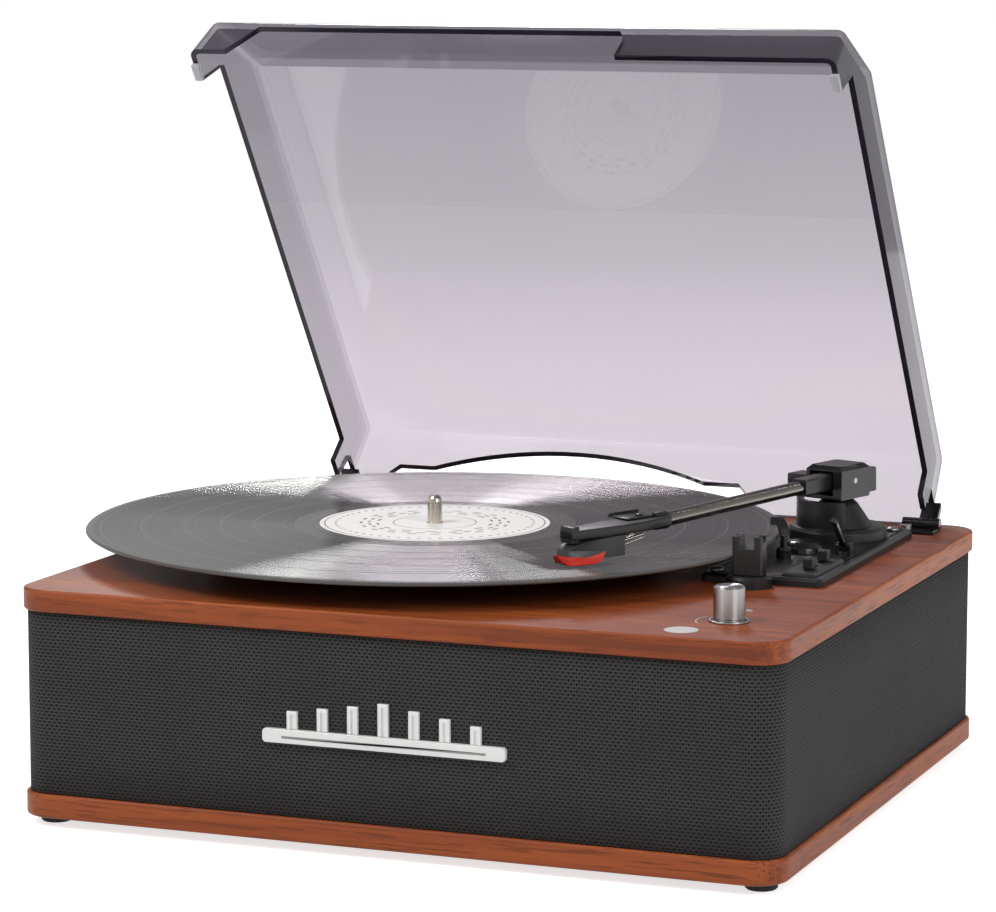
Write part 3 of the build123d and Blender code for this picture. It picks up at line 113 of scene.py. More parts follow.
camera_data = bpy.data.cameras.new("photo_camera")
camera_data.lens = camera_lens
camera_data.sensor_width = 36.0
camera_data.clip_start = 0.05
camera_data.clip_end = 60.0
camera = bpy.data.objects.new("photo_camera", camera_data)
camera.location = camera_place
camera.rotation_euler = (radians(90 - camera_down), 0.0, radians(camera_turn))
scene.collection.objects.link(camera)
scene.camera = camera
print("camera", camera_place, "lens", camera_lens)

# %% [markdown]
# ## Nodes with fewer words
#
# A material is a small network. A few helpers keep the networks readable: one adds a node and fills
# its inputs, where a value may be a number or another node's output, one starts a material with
# its main shader, and the others each stand for a common step. Constant values such as the coat go
# straight on the shader's own sockets.

# %% Helpers for materials


def fill(tree, socket, value):
    """Give an input a number, a colour or another node's output."""
    if isinstance(value, bpy.types.NodeSocket):
        tree.links.new(value, socket)
    elif socket.type == "RGBA" and len(value) == 3:
        socket.default_value = (*value, 1.0)
    else:
        socket.default_value = value


def put(tree, kind, inputs=None, **settings):
    """Add a node, set its options and fill its inputs with values or with other outputs."""
    node = tree.nodes.new(kind)
    for name, value in settings.items():
        setattr(node, name, value)
    for name, value in (inputs or {}).items():
        fill(tree, node.inputs[name], value)
    return node


def bare_material(name):
    """A material whose network is still empty."""
    material = bpy.data.materials.new(name)
    material.use_nodes = True
    material.node_tree.nodes.clear()
    return material, material.node_tree


def start_material(name, **inputs):
    """A material with a Principled shader. Input names are written with underscores for spaces."""
    material, tree = bare_material(name)
    shader = put(tree, "ShaderNodeBsdfPrincipled", {k.replace("_", " "): v for k, v in inputs.items()})
    put(tree, "ShaderNodeOutputMaterial", {"Surface": shader.outputs["BSDF"]})
    return material, tree, shader


def feed(tree, shader, **outputs):
    """Link outputs to the shader's inputs, again with underscores for spaces."""
    for name, output in outputs.items():
        tree.links.new(output, shader.inputs[name.replace("_", " ")])


def mapped(tree, vector, location, scale):
    """A vector that a Mapping node stretches and then moves."""
    node = put(tree, "ShaderNodeMapping", {"Vector": vector, "Location": location, "Scale": scale})
    return node.outputs["Vector"]


def object_coordinates(tree, location=(0, 0, 0), scale=(1, 1, 1)):
    """The piece's own coordinates, stretched and moved."""
    return mapped(tree, put(tree, "ShaderNodeTexCoord").outputs["Object"], location, scale)


def parts_of(tree, vector):
    """The X, Y and Z of a vector."""
    node = put(tree, "ShaderNodeSeparateXYZ", {"Vector": vector})
    return node.outputs["X"], node.outputs["Y"], node.outputs["Z"]


def vector_of(tree, x, y=0.0, z=0.0):
    """A vector from its X, Y and Z."""
    return put(tree, "ShaderNodeCombineXYZ", {"X": x, "Y": y, "Z": z}).outputs["Vector"]


def noise(tree, vector, scale, detail=3.0, roughness=0.55, distortion=0.0):
    """A noise value from 0 to 1."""
    node = put(tree, "ShaderNodeTexNoise", {"Vector": vector, "Scale": scale, "Detail": detail,
                                            "Roughness": roughness, "Distortion": distortion})
    return node.outputs["Fac"]


def ramp(tree, value, stops):
    """A colour ramp through (position, colour) stops."""
    node = put(tree, "ShaderNodeValToRGB", {"Fac": value})
    elements = node.color_ramp.elements
    while len(elements) < len(stops):
        elements.new(0.5)
    for element, (position, colour) in zip(elements, stops):
        element.position = position
        element.color = (*colour, 1.0)
    return node.outputs["Color"]


def spread(tree, value, low, high, start=0.0, end=1.0):
    """Map a value from start..end to low..high."""
    node = put(tree, "ShaderNodeMapRange", {"Value": value, "From Min": start, "From Max": end,
                                            "To Min": low, "To Max": high})
    return node.outputs["Result"]


def maths(tree, operation, first, second=0.0):
    """One arithmetic step."""
    return put(tree, "ShaderNodeMath", {0: first, 1: second}, operation=operation).outputs["Value"]


def times(tree, first, second):
    return maths(tree, "MULTIPLY", first, second)


def plus(tree, first, second):
    return maths(tree, "ADD", first, second)


def minus(tree, first, second):
    return maths(tree, "SUBTRACT", first, second)


def blend(tree, first, second, share=0.5):
    """Two values in one, the first with the given share."""
    return plus(tree, times(tree, first, share), times(tree, second, 1.0 - share))


def mix_colour(tree, factor, first, second):
    """Mix two colours, which a Mix node keeps in its inputs 6 and 7."""
    return put(tree, "ShaderNodeMix", {0: factor, 6: first, 7: second}, data_type="RGBA").outputs[2]


def mix_shaders(tree, factor, first, second):
    """Mix the outputs of two shader nodes."""
    node = put(tree, "ShaderNodeMixShader", {0: factor, 1: first.outputs[0], 2: second.outputs[0]})
    return node.outputs["Shader"]


def bump(tree, height, distance, strength=1.0, normal=None):
    """Turn a height from 0 to 1 into a bump that is distance metres deep."""
    inputs = {"Height": height, "Distance": distance, "Strength": strength}
    if normal is not None:
        inputs["Normal"] = normal
    return put(tree, "ShaderNodeBump", inputs).outputs["Normal"]


print("material helpers ready")

# %% [markdown]
# ## Wood veneer
#
# The two boards are faced with a red-brown veneer under a satin lacquer. Veneer is one thin sheet, so
# its grain runs the same way over the whole board, and the edge banding has its grain along the edge.
# A noise that is stretched about fifty times along the grain gives the streaks, a much finer one gives
# the dark pores, and a slow one drifts the colour. On faces that look sideways the two
# horizontal axes are swapped, which turns the grain along the side edge.

# %% Wood veneer


def make_wood():
    material, tree, shader = start_material("veneer_wood", Coat_Weight=0.08, Coat_Roughness=0.2,
                                            Specular_IOR_Level=0.28)
    source = put(tree, "ShaderNodeTexCoord")
    x, y, z = parts_of(tree, source.outputs["Object"])
    facing_x = parts_of(tree, source.outputs["Normal"])[0]
    sideways = maths(tree, "GREATER_THAN", maths(tree, "ABSOLUTE", facing_x), 0.72)
    swapped = vector_of(tree, y, x, z)
    grain = put(tree, "ShaderNodeMix", {0: sideways, 4: source.outputs["Object"], 5: swapped},
                data_type="VECTOR")
    along = grain.outputs[1]

    def stretched(length, across, offset=0.0):
        return mapped(tree, along, (offset, offset, offset), (length, across, across))

    broad = noise(tree, stretched(1.6, 26.0), 1.0, 4.0, 0.5, 0.6)
    streak = noise(tree, stretched(4.0, 190.0, 3.0), 1.0, 4.0, 0.6, 0.3)
    pores = noise(tree, stretched(55.0, 1050.0, 7.0), 1.0, 2.0, 0.5)
    drift = noise(tree, stretched(2.0, 3.0, 11.0), 1.0, 2.0)
    figure = blend(tree, broad, streak)
    body = ramp(tree, figure, [
        (0.32, (0.080, 0.012, 0.004)),
        (0.44, (0.200, 0.038, 0.010)),
        (0.56, (0.345, 0.080, 0.020)),
        (0.72, (0.490, 0.145, 0.040)),
    ])
    pore_mask = spread(tree, pores, 1.0, 0.0, 0.36, 0.47)
    dark = mix_colour(tree, times(tree, pore_mask, 0.62), body, (0.055, 0.010, 0.004))
    warm = mix_colour(tree, spread(tree, drift, 0.0, 0.30, 0.35, 0.7), dark, (0.44, 0.095, 0.012))
    rough = bump(tree, pores, 0.00006, 0.5)
    feed(tree, shader, Base_Color=warm, Roughness=spread(tree, streak, 0.42, 0.60, 0.3, 0.7),
         Normal=bump(tree, streak, 0.00012, 0.35, rough))
    return material


wood = make_wood()
print("made", wood.name)

# %% [markdown]
# ## Speaker cloth
#
# The cabinet's body is wrapped in black grille cloth. It is an open weave: thick threads run round
# the cabinet in rows, and between them small slits show as darker dots. The colour follows the
# weave's height, so the dark dots are partly painted shade and the rows of thread carry a painted
# highlight. The weave has to follow the cloth round the corners, so the material reads the piece's
# own UV map, in metres of cloth.

# %% Speaker cloth
thread_pitch = 0.0023
row_pitch = 0.00144


def make_cloth():
    material, tree, shader = start_material("grille_fabric", Roughness=0.85, Sheen_Weight=0.08,
                                            Sheen_Roughness=0.5, Specular_IOR_Level=0.25)
    shader.inputs["Sheen Tint"].default_value = (0.5, 0.5, 0.55, 1.0)
    uv = put(tree, "ShaderNodeTexCoord").outputs["UV"]
    along, upward, unused = parts_of(tree, uv)
    column = maths(tree, "DIVIDE", along, thread_pitch)
    row = maths(tree, "DIVIDE", upward, 2 * row_pitch)
    across = maths(tree, "COSINE", times(tree, column, tau))
    up = maths(tree, "COSINE", times(tree, row, tau))
    slits = spread(tree, times(tree, across, up), 0.0, 1.0, 0.12, 0.50)
    # Lifts the rows of thread between the slits: real relief in the bump, a painted highlight in the colour.
    threads = maths(tree, "COSINE", times(tree, row, 2 * tau))
    knots = minus(tree, 0.62, times(tree, threads, 0.22))
    knots = times(tree, knots, minus(tree, 1.0, slits))
    fibres = noise(tree, uv, 5200.0, 3.0, 0.7)
    wear = noise(tree, uv, 30.0, 3.0)
    height = plus(tree, knots, times(tree, fibres, 0.35))
    # Colour from the weave's height: painted shade in the slits and a painted highlight on the raised
    # threads, over the cloth's own near-black.
    thread = ramp(tree, height, [
        (0.12, (0.0010, 0.0010, 0.0011)),
        (0.45, (0.0210, 0.0205, 0.0200)),
        (0.98, (0.0720, 0.0690, 0.0665)),
    ])
    faded = mix_colour(tree, spread(tree, wear, 0.0, 0.35, 0.3, 0.75), thread, (0.018, 0.018, 0.019))
    feed(tree, shader, Base_Color=faded, Normal=bump(tree, height, 0.00055, 0.9))
    return material


cloth = make_cloth()
print("made", cloth.name)

# %% [markdown]
# ## Moulded plastics, rubber and plain metals
#
# Most of the arm is moulded in black plastic with a fine spark-eroded texture, which scatters the
# highlights a little. The same recipe, with other colours and depths, does for rubber, paint,
# the circuit board and the pressed paper of the speaker cones.

# %% Moulded plastics and rubber


def make_moulded(name, colour, roughness, texture=900.0, depth=0.00003, mottling=0.35, **inputs):
    """An opaque material with a fine surface texture and slightly uneven colour and gloss."""
    material, tree, shader = start_material(name, **inputs)
    where = object_coordinates(tree)
    fine = noise(tree, where, texture, 3.0, 0.6)
    cloudy = noise(tree, where, 35.0, 4.0, 0.6)
    darker = tuple(channel * (1.0 - mottling) for channel in colour)
    lighter = tuple(min(1.0, channel * (1.0 + mottling)) for channel in colour)
    uneven = blend(tree, cloudy, fine)
    feed(tree, shader, Base_Color=ramp(tree, cloudy, [(0.3, darker), (0.7, lighter)]),
         Roughness=spread(tree, uneven, roughness * 0.8, roughness * 1.25, 0.3, 0.7),
         Normal=bump(tree, fine, depth, 0.6))
    return material


black_plastic = make_moulded("black_moulding", (0.013, 0.013, 0.014), 0.34)
gloss_black = make_moulded("gloss_black_moulding", (0.010, 0.010, 0.011), 0.17, 400.0, 0.00001)
rubber = make_moulded("soft_rubber", (0.020, 0.020, 0.021), 0.75, 1400.0, 0.00008)
board_black = make_moulded("stained_fibreboard", (0.030, 0.026, 0.022), 0.85, 700.0, 0.0002, 0.5)
paper = make_moulded("pressed_paper_cone", (0.045, 0.044, 0.042), 0.9, 1200.0, 0.00012, 0.3)
ferrite = make_moulded("ferrite_ring", (0.055, 0.055, 0.060), 0.6, 900.0, 0.0001)
circuit = make_moulded("circuit_laminate", (0.020, 0.110, 0.040), 0.35, 260.0, 0.00003, 0.5)
weight_paint = make_moulded("grey_weight_paint", (0.040, 0.040, 0.043), 0.42, 1500.0, 0.00005)
cartridge_grey = make_moulded("grey_cartridge_moulding", (0.040, 0.044, 0.046), 0.40)
bumper_rubber = make_moulded("clear_bumper", (0.72, 0.73, 0.75), 0.35, 900.0, 0.00003, 0.08,
                             Transmission_Weight=0.35)
print("made the moulded materials")

# %% [markdown]
# Metals get the same treatment, but their fine lines run one way, as the turning or brushing tool
# left them. So the noise is stretched along those lines, and a second one adds faint smudges.

# %% Metals


def round_the_axis(tree):
    """The direction round the upright axis, which turning marks and grooves follow."""
    return put(tree, "ShaderNodeTangent", direction_type="RADIAL", axis="Z").outputs["Tangent"]


def make_metal(name, colour, roughness, lines=(60.0, 60.0, 2600.0), depth=0.000006, wear=0.12, **inputs):
    """A metal whose fine lines follow the stretched noise, with faint smudges in its gloss."""
    material, tree, shader = start_material(name, Metallic=1.0, **inputs)
    brushed = noise(tree, object_coordinates(tree, scale=lines), 1.0, 4.0, 0.6)
    smudge = noise(tree, object_coordinates(tree), 60.0, 3.0, 0.6)
    darker = tuple(channel * (1.0 - wear) for channel in colour)
    uneven = blend(tree, brushed, smudge, 0.6)
    feed(tree, shader, Base_Color=ramp(tree, brushed, [(0.3, darker), (0.7, colour)]),
         Roughness=spread(tree, uneven, roughness * 0.75, roughness * 1.3, 0.3, 0.7),
         Normal=bump(tree, brushed, depth, 0.6))
    if "Anisotropic" in inputs:
        feed(tree, shader, Tangent=round_the_axis(tree))
    return material


aluminium = make_metal("turned_aluminium", (0.56, 0.555, 0.55), 0.27)
badge_silver = make_moulded("badge_silver", (0.80, 0.79, 0.78), 0.34, 700.0, 0.000006, 0.05, Metallic=0.2)
steel = make_metal("plain_steel", (0.52, 0.52, 0.53), 0.32)
chrome = make_metal("champagne_chrome", (0.70, 0.66, 0.60), 0.16)
gunmetal = make_metal("gunmetal_tube", (0.27, 0.25, 0.225), 0.20, (90.0, 90.0, 90.0), depth=0.000001)
turned_metal = make_metal("lathe_turned_cap", (0.50, 0.50, 0.50), 0.32, Anisotropic=0.9,
                          Anisotropic_Rotation=0.25)
brass = make_metal("sintered_bronze", (0.60, 0.42, 0.20), 0.38)
spindle_metal = make_metal("spindle_nickel", (0.74, 0.67, 0.57), 0.15)
pin_plate = make_metal("plated_pin", (0.80, 0.76, 0.68), 0.18)
print("made the metals")

# %% [markdown]
# ## Vinyl, paper and coloured plastic
#
# A record is glossy black, but its grooves are finer than any pixel. What is seen is a highlight
# smeared across the grooves, darker and lighter bands where the music changes, and smooth rings
# between the tracks, which are given a lighter grey as a painted reflection. All of these depend
# only on the distance from the spindle, so the material first works out that distance and builds
# everything from it.

# %% Vinyl
label_radius = (high_mm("record_labels").x - low_mm("record_labels").x) / 2
track_gaps = (78.5, 93.0, 108.5, 127.0, 144.5)


def distance_from_spindle(tree):
    """Millimetres from the record's axis, and how far they lie along X and Y."""
    centred = object_coordinates(tree, (-platter_x, -platter_y, 0.0), scale=(1000, 1000, 1000))
    x, y, height = parts_of(tree, centred)
    length = put(tree, "ShaderNodeVectorMath", {0: vector_of(tree, x, y)}, operation="LENGTH")
    return length.outputs["Value"], x, y


def ring_mask(tree, distance, radius, half_width, softness=0.15):
    """One on a ring of the given radius, falling to nothing beyond its half width."""
    away = maths(tree, "ABSOLUTE", minus(tree, distance, radius))
    return spread(tree, away, 1.0, 0.0, half_width, half_width + softness)


def make_vinyl():
    material, tree, shader = start_material("grooved_vinyl", Specular_IOR_Level=0.12)
    distance, x, y = distance_from_spindle(tree)
    only_radius = vector_of(tree, distance)
    bands = noise(tree, only_radius, 0.45, 5.0, 0.75)
    fine = noise(tree, only_radius, 3.2, 3.0, 0.7)
    gaps = ring_mask(tree, distance, label_radius + 3.5, 7.5, 0.4)
    for radius in track_gaps:
        gaps = maths(tree, "MAXIMUM", gaps, ring_mask(tree, distance, radius, 0.45))
    gaps = maths(tree, "MAXIMUM", gaps, ring_mask(tree, distance, record_radius, 3.2, 0.3))
    music = minus(tree, 1.0, gaps)
    groove = maths(tree, "SINE", times(tree, distance, tau / 0.55))
    height = plus(tree, times(tree, groove, 0.25), fine)
    ridges = bump(tree, times(tree, height, music), 0.00003, 0.35)
    black = ramp(tree, bands, [(0.3, (0.0030, 0.0030, 0.0032)), (0.7, (0.0075, 0.0072, 0.0072))])
    # The smooth rings and the rim take a lighter grey base colour: a painted reflection on the black vinyl.
    feed(tree, shader, Base_Color=mix_colour(tree, gaps, black, (0.105, 0.102, 0.098)),
         Roughness=spread(tree, bands, 0.10, 0.22, 0.3, 0.7), Normal=ridges)
    streaks = put(tree, "ShaderNodeBsdfAnisotropic", {
        "Color": (0.80, 0.79, 0.78), "Roughness": spread(tree, bands, 0.23, 0.30, 0.3, 0.7),
        "Anisotropy": 0.90, "Tangent": round_the_axis(tree), "Normal": ridges})
    share = put(tree, "ShaderNodeFresnel", {"IOR": 1.42}).outputs["Fac"]
    share = times(tree, share, spread(tree, music, 0.35, 0.90))
    output = next(node for node in tree.nodes if node.type == "OUTPUT_MATERIAL")
    feed(tree, output, Surface=mix_shaders(tree, share, shader, streaks))
    return material


vinyl = make_vinyl()
print("made", vinyl.name)

# %% [markdown]
# The label is cream paper. What a real one says belongs to its publisher, so this one carries only
# generic marks: two printed rings, a ring of dots and a few dashed lines, with the paper's own
# fibres under them.

# %% Paper label
# Each row is a radius, a number of dashes round the label and a level that sets their length.
label_dashes = ((43.0, 60.0, 0.45), (32.0, 20.0, 0.25), (28.5, 26.0, -0.1), (25.0, 14.0, 0.2))


def make_label():
    material, tree, shader = start_material("label_paper", Specular_IOR_Level=0.35)
    distance, x, y = distance_from_spindle(tree)
    fibres = noise(tree, object_coordinates(tree), 700.0, 4.0, 0.65)
    paper_colour = ramp(tree, fibres, [(0.3, (0.93, 0.915, 0.865)), (0.7, (0.985, 0.975, 0.94))])
    rings = ring_mask(tree, distance, label_radius - 2.2, 0.25, 0.1)
    rings = maths(tree, "MAXIMUM", rings, ring_mask(tree, distance, 18.0, 0.2, 0.1))
    turn = maths(tree, "ARCTAN2", y, x)
    for radius, count, share in label_dashes:
        dashes = maths(tree, "SINE", times(tree, turn, count))
        dashes = maths(tree, "GREATER_THAN", dashes, share)
        band = ring_mask(tree, distance, radius, 0.55, 0.15)
        rings = maths(tree, "MAXIMUM", rings, times(tree, band, dashes))
    printed = mix_colour(tree, times(tree, rings, 0.85), paper_colour, (0.055, 0.050, 0.045))
    feed(tree, shader, Base_Color=printed, Roughness=spread(tree, fibres, 0.45, 0.65, 0.3, 0.7),
         Normal=bump(tree, fibres, 0.00004, 0.5))
    return material


label_paper = make_label()
red_plastic = make_moulded("red_stylus_moulding", (0.78, 0.032, 0.012), 0.24, 500.0, 0.00002, 0.10,
                           Coat_Weight=0.3, Coat_Roughness=0.1)
ink = make_moulded("silver_print", (0.62, 0.60, 0.58), 0.45, 900.0, 0.00001, 0.06)
lens = make_moulded("lamp_lens", (0.85, 0.83, 0.78), 0.12, 900.0, 0.00001, 0.05, Transmission_Weight=0.5)
print("made", label_paper.name, "and the small finishes")

# %% [markdown]
# ## Smoked acrylic
#
# The cover is clear acrylic with a violet-grey smoke in it. Light that goes straight through crosses
# two surfaces, so each one takes half of the tint, and a wall that is seen at a slant is darker
# because the way through it is longer. A mirror-like gloss lies on top, stronger at a slant. The
# sawn rims hold light inside them and look almost black. The tint also fades from a deeper grey at
# the front edge of the cover, which is the top of the picture, to a pale lavender at its rear; this
# fade is a painted reflection laid into the tint.

# %% Smoked acrylic
lid_low, lid_high = low_mm("dust_cover"), high_mm("dust_cover")
acrylic_index = 1.45


def make_smoke():
    material, tree = bare_material("smoked_acrylic")
    where = put(tree, "ShaderNodeTexCoord").outputs["Object"]
    rise = spread(tree, parts_of(tree, where)[2], 0.0, 1.0, lid_low.z / 1000, lid_high.z / 1000)
    cloudy = noise(tree, where, 9.0, 3.0, 0.5)
    rise = plus(tree, rise, times(tree, minus(tree, cloudy, 0.5), 0.10))
    # The smoke's tint with a painted reflection in it: deeper grey at one end of the cover, paler at the
    # other, by height.
    smoke_tint_and_painted_fade = ramp(tree, rise, [
        (0.02, (0.715, 0.685, 0.715)),
        (0.45, (0.752, 0.722, 0.757)),
        (0.92, (0.650, 0.630, 0.660)),
    ])
    slant = put(tree, "ShaderNodeLayerWeight", {"Blend": 0.32}).outputs["Facing"]
    deeper = spread(tree, slant, 0.0, 0.92, 0.30, 0.80)
    tint = mix_colour(tree, deeper, smoke_tint_and_painted_fade, (0.110, 0.096, 0.135))
    clear = put(tree, "ShaderNodeBsdfTransparent", {"Color": tint})
    smudges = noise(tree, where, 22.0, 4.0, 0.6)
    gloss = put(tree, "ShaderNodeBsdfGlossy", {"Color": (0.92, 0.92, 0.93),
                                               "Roughness": spread(tree, smudges, 0.02, 0.07, 0.3, 0.7)})
    inner_side = put(tree, "ShaderNodeNewGeometry").outputs["Backfacing"]
    index = spread(tree, inner_side, acrylic_index, 1 / acrylic_index, 0.0, 1.0)
    share = put(tree, "ShaderNodeFresnel", {"IOR": index}).outputs["Fac"]
    share = maths(tree, "MINIMUM", share, 0.24)
    put(tree, "ShaderNodeOutputMaterial", {"Surface": mix_shaders(tree, share, clear, gloss)})
    return material


def make_rim():
    material, tree, shader = start_material("acrylic_rim", Specular_IOR_Level=0.25)
    saw_lines = noise(tree, object_coordinates(tree, scale=(40.0, 900.0, 900.0)), 1.0, 3.0, 0.6)
    cloudy = noise(tree, object_coordinates(tree), 14.0, 3.0, 0.6)
    dark = ramp(tree, cloudy, [(0.3, (0.010, 0.009, 0.014)), (0.7, (0.034, 0.028, 0.046))])
    feed(tree, shader, Base_Color=dark, Roughness=spread(tree, saw_lines, 0.08, 0.20, 0.3, 0.7),
         Normal=bump(tree, saw_lines, 0.00001, 0.4))
    return material


smoke = make_smoke()
rim_smoke = make_rim()
print("made", smoke.name, "and", rim_smoke.name)

# %% [markdown]
# ## Making pieces
#
# Every new piece is drawn in a bmesh, in millimetres, often in a frame of its own, such as the
# tonearm's. Finishing it merges double points, turns the faces outward, moves it into place, marks
# the sharp edges, gives it its finish and lets it ride on its body. The last step names the solid
# that it stands for, which is then hidden.

# %% Helpers for pieces


def matrix(x=0.0, y=0.0, z=0.0, turn_x=0.0, turn_y=0.0, turn_z=0.0):
    """A place in millimetres, then turns in degrees about X, Y and Z."""
    turned_by = Matrix.Rotation(radians(turn_x), 4, "X") @ Matrix.Rotation(radians(turn_y), 4, "Y")
    return Matrix.Translation((x, y, z)) @ turned_by @ Matrix.Rotation(radians(turn_z), 4, "Z")


def to_object(bm, name):
    """Turn a bmesh into an object of the scene."""
    mesh = bpy.data.meshes.new(name)
    bm.to_mesh(mesh)
    bm.free()
    obj = bpy.data.objects.new(name, mesh)
    scene.collection.objects.link(obj)
    return obj


def dress(obj, body, material, stands_for=(), sharp=35.0):
    """Shade, colour and attach a finished object."""
    mesh = obj.data
    for finish in material if isinstance(material, (list, tuple)) else [material]:
        mesh.materials.append(finish)
    mesh.polygons.foreach_set("use_smooth", [True] * len(mesh.polygons))
    mesh.set_sharp_from_angle(angle=radians(sharp))
    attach(obj, body)
    if stands_for:
        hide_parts(*stands_for)
    return obj


def finish_piece(bm, name, body, material, stands_for=(), place=None, sharp=35.0, keep_normals=False):
    """Close a bmesh and turn it into a piece of the record player."""
    bmesh.ops.remove_doubles(bm, verts=bm.verts, dist=0.0005)
    if not keep_normals:
        bmesh.ops.recalc_face_normals(bm, faces=bm.faces)
    bmesh.ops.transform(bm, matrix=TO_METRES @ (place or Matrix.Identity(4)), verts=bm.verts)
    obj = dress(to_object(bm, name), body, material, stands_for, sharp)
    print("piece", name, len(obj.data.polygons), "faces")
    return obj


def newest(bm, known):
    """The points that are not in the known set."""
    return [vert for vert in bm.verts if vert not in known]


def bevel(bm, edges, width, segments, **settings):
    """Round edges off."""
    bmesh.ops.bevel(bm, geom=list(edges), offset=width, segments=segments, profile=0.5,
                    affect="EDGES", material=-1, **settings)


def slab(bm, low, high, round_by=0.0, segments=3, place=None):
    """A box between two corners, with all its edges rounded."""
    known = set(bm.verts)
    bmesh.ops.create_cube(bm, size=1.0)
    verts = newest(bm, known)
    size = [high[i] - low[i] for i in range(3)]
    centre = [(high[i] + low[i]) / 2 for i in range(3)]
    bmesh.ops.scale(bm, vec=size, verts=verts)
    bmesh.ops.translate(bm, vec=centre, verts=verts)
    if round_by:
        edges = {edge for vert in verts for edge in vert.link_edges}
        bevel(bm, edges, round_by, segments, clamp_overlap=True)
    if place is not None:
        bmesh.ops.transform(bm, matrix=place, verts=newest(bm, known))


def turned(bm, outline, x=0.0, y=0.0, z=0.0, steps=96, closed=False, place=None):
    """Spin an outline of (radius, height) points about an upright axis."""
    known = set(bm.verts)
    line = [bm.verts.new((x + radius, y, z + height)) for radius, height in outline]
    edges = [bm.edges.new(pair) for pair in zip(line, line[1:])]
    if closed:
        edges.append(bm.edges.new((line[-1], line[0])))
    bmesh.ops.spin(bm, geom=line + edges, cent=(x, y, 0), axis=(0, 0, 1), angle=tau, steps=steps,
                   use_merge=True)
    if place is not None:
        bmesh.ops.transform(bm, matrix=place, verts=newest(bm, known))


def spun(outline, x, y, z=0.0, steps=96, closed=False):
    """A new bmesh that holds one turned outline."""
    bm = bmesh.new()
    turned(bm, outline, x, y, z, steps, closed)
    return bm


def rounded_corner(start, corner, stop, radius, steps=4):
    """Points of an arc that rounds a corner of an outline of (radius, height) points."""
    corner, start, stop = Vector(corner), Vector(start), Vector(stop)
    first, second = (start - corner).normalized(), (stop - corner).normalized()
    half = first.angle(second) / 2
    reach = radius / (sin(half) / cos(half))
    centre = corner + (first + second).normalized() * (radius / sin(half))
    a, b = corner + first * reach - centre, corner + second * reach - centre
    sweep = a.angle_signed(b)
    turns = [Matrix.Rotation(-sweep * i / steps, 2) for i in range(steps + 1)]
    return [tuple(centre + turn @ a) for turn in turns]


def softened(outline, radius, steps=4):
    """Round every inner corner of an open outline that is not on the axis."""
    points = [outline[0]]
    for before, corner, after in zip(outline, outline[1:], outline[2:]):
        straight = (Vector(corner) - Vector(before)).angle(Vector(after) - Vector(corner), 0.0)
        if straight < 0.12:
            points.append(corner)
            continue
        reach = min((Vector(corner) - Vector(before)).length, (Vector(after) - Vector(corner)).length)
        points += rounded_corner(before, corner, after, min(radius, reach * 0.45), steps)
    return points + [outline[-1]]


def plate_from(bm, outline, low, high, round_by, segments=3):
    """Extrude a flat outline of (x, y) points upwards and round the edges of its two faces."""
    known = set(bm.verts)
    ring = [bm.verts.new((x, y, low)) for x, y in outline]
    base = bm.faces.new(ring)
    made = bmesh.ops.extrude_face_region(bm, geom=[base])
    top = [item for item in made["geom"] if isinstance(item, bmesh.types.BMVert)]
    bmesh.ops.translate(bm, vec=(0, 0, high - low), verts=top)
    flat = {e for v in newest(bm, known) for e in v.link_edges
            if abs(e.verts[0].co.z - e.verts[1].co.z) < 1e-6}
    bevel(bm, flat, round_by, segments)


def rod(bm, start, stop, radius, end_radius=None, steps=32):
    """A straight round rod between two points."""
    known = set(bm.verts)
    start, stop = Vector(start), Vector(stop)
    run = stop - start
    bmesh.ops.create_cone(bm, cap_ends=True, segments=steps, radius1=radius,
                          radius2=radius if end_radius is None else end_radius, depth=run.length)
    aim = run.to_track_quat("Z", "Y").to_matrix().to_4x4()
    bmesh.ops.transform(bm, matrix=Matrix.Translation((start + stop) / 2) @ aim, verts=newest(bm, known))


def refined(node, name, body, material, edge=0.3, segments=3, sharp=30.0):
    """A copy of a CAD solid whose triangles are merged into whole faces and whose edges are softened."""
    bm = bmesh.new()
    bm.from_mesh(nodes[node].data)
    bmesh.ops.remove_doubles(bm, verts=bm.verts, dist=0.000002)
    bmesh.ops.dissolve_limit(bm, angle_limit=radians(0.6), verts=bm.verts, edges=bm.edges)
    obj = dress(to_object(bm, name), body, material, (node,), sharp)
    soften = obj.modifiers.new("softened_edges", "BEVEL")
    soften.width = edge / 1000
    soften.segments = segments
    soften.limit_method = "ANGLE"
    soften.angle_limit = radians(sharp)
    soften.harden_normals = True
    print("refined", node, len(obj.data.polygons), "faces")
    return obj


print("piece helpers ready")

# %% [markdown]
# ## The grille cloth
#
# The cabinet's body is wrapped in one strip of woven cloth, joined at the back. It starts here as a
# flat grid, as it lies on the bench, and takes its UV map there, in metres, so that the weave keeps
# its true size. Then each point is moved round the rounded rectangle of the cabinet. The window for
# the sockets is cut out at the back, and a Solidify modifier gives the cloth its thickness.

# %% Wrap the cloth
cloth_low, cloth_high = low_mm("grille_cloth"), high_mm("grille_cloth")
cloth_corner = 12.34
cloth_seam_x = 70.0
window_half = 43.0
window_low, window_high = 31.1, 65.1
cloth_thickness = 1.0


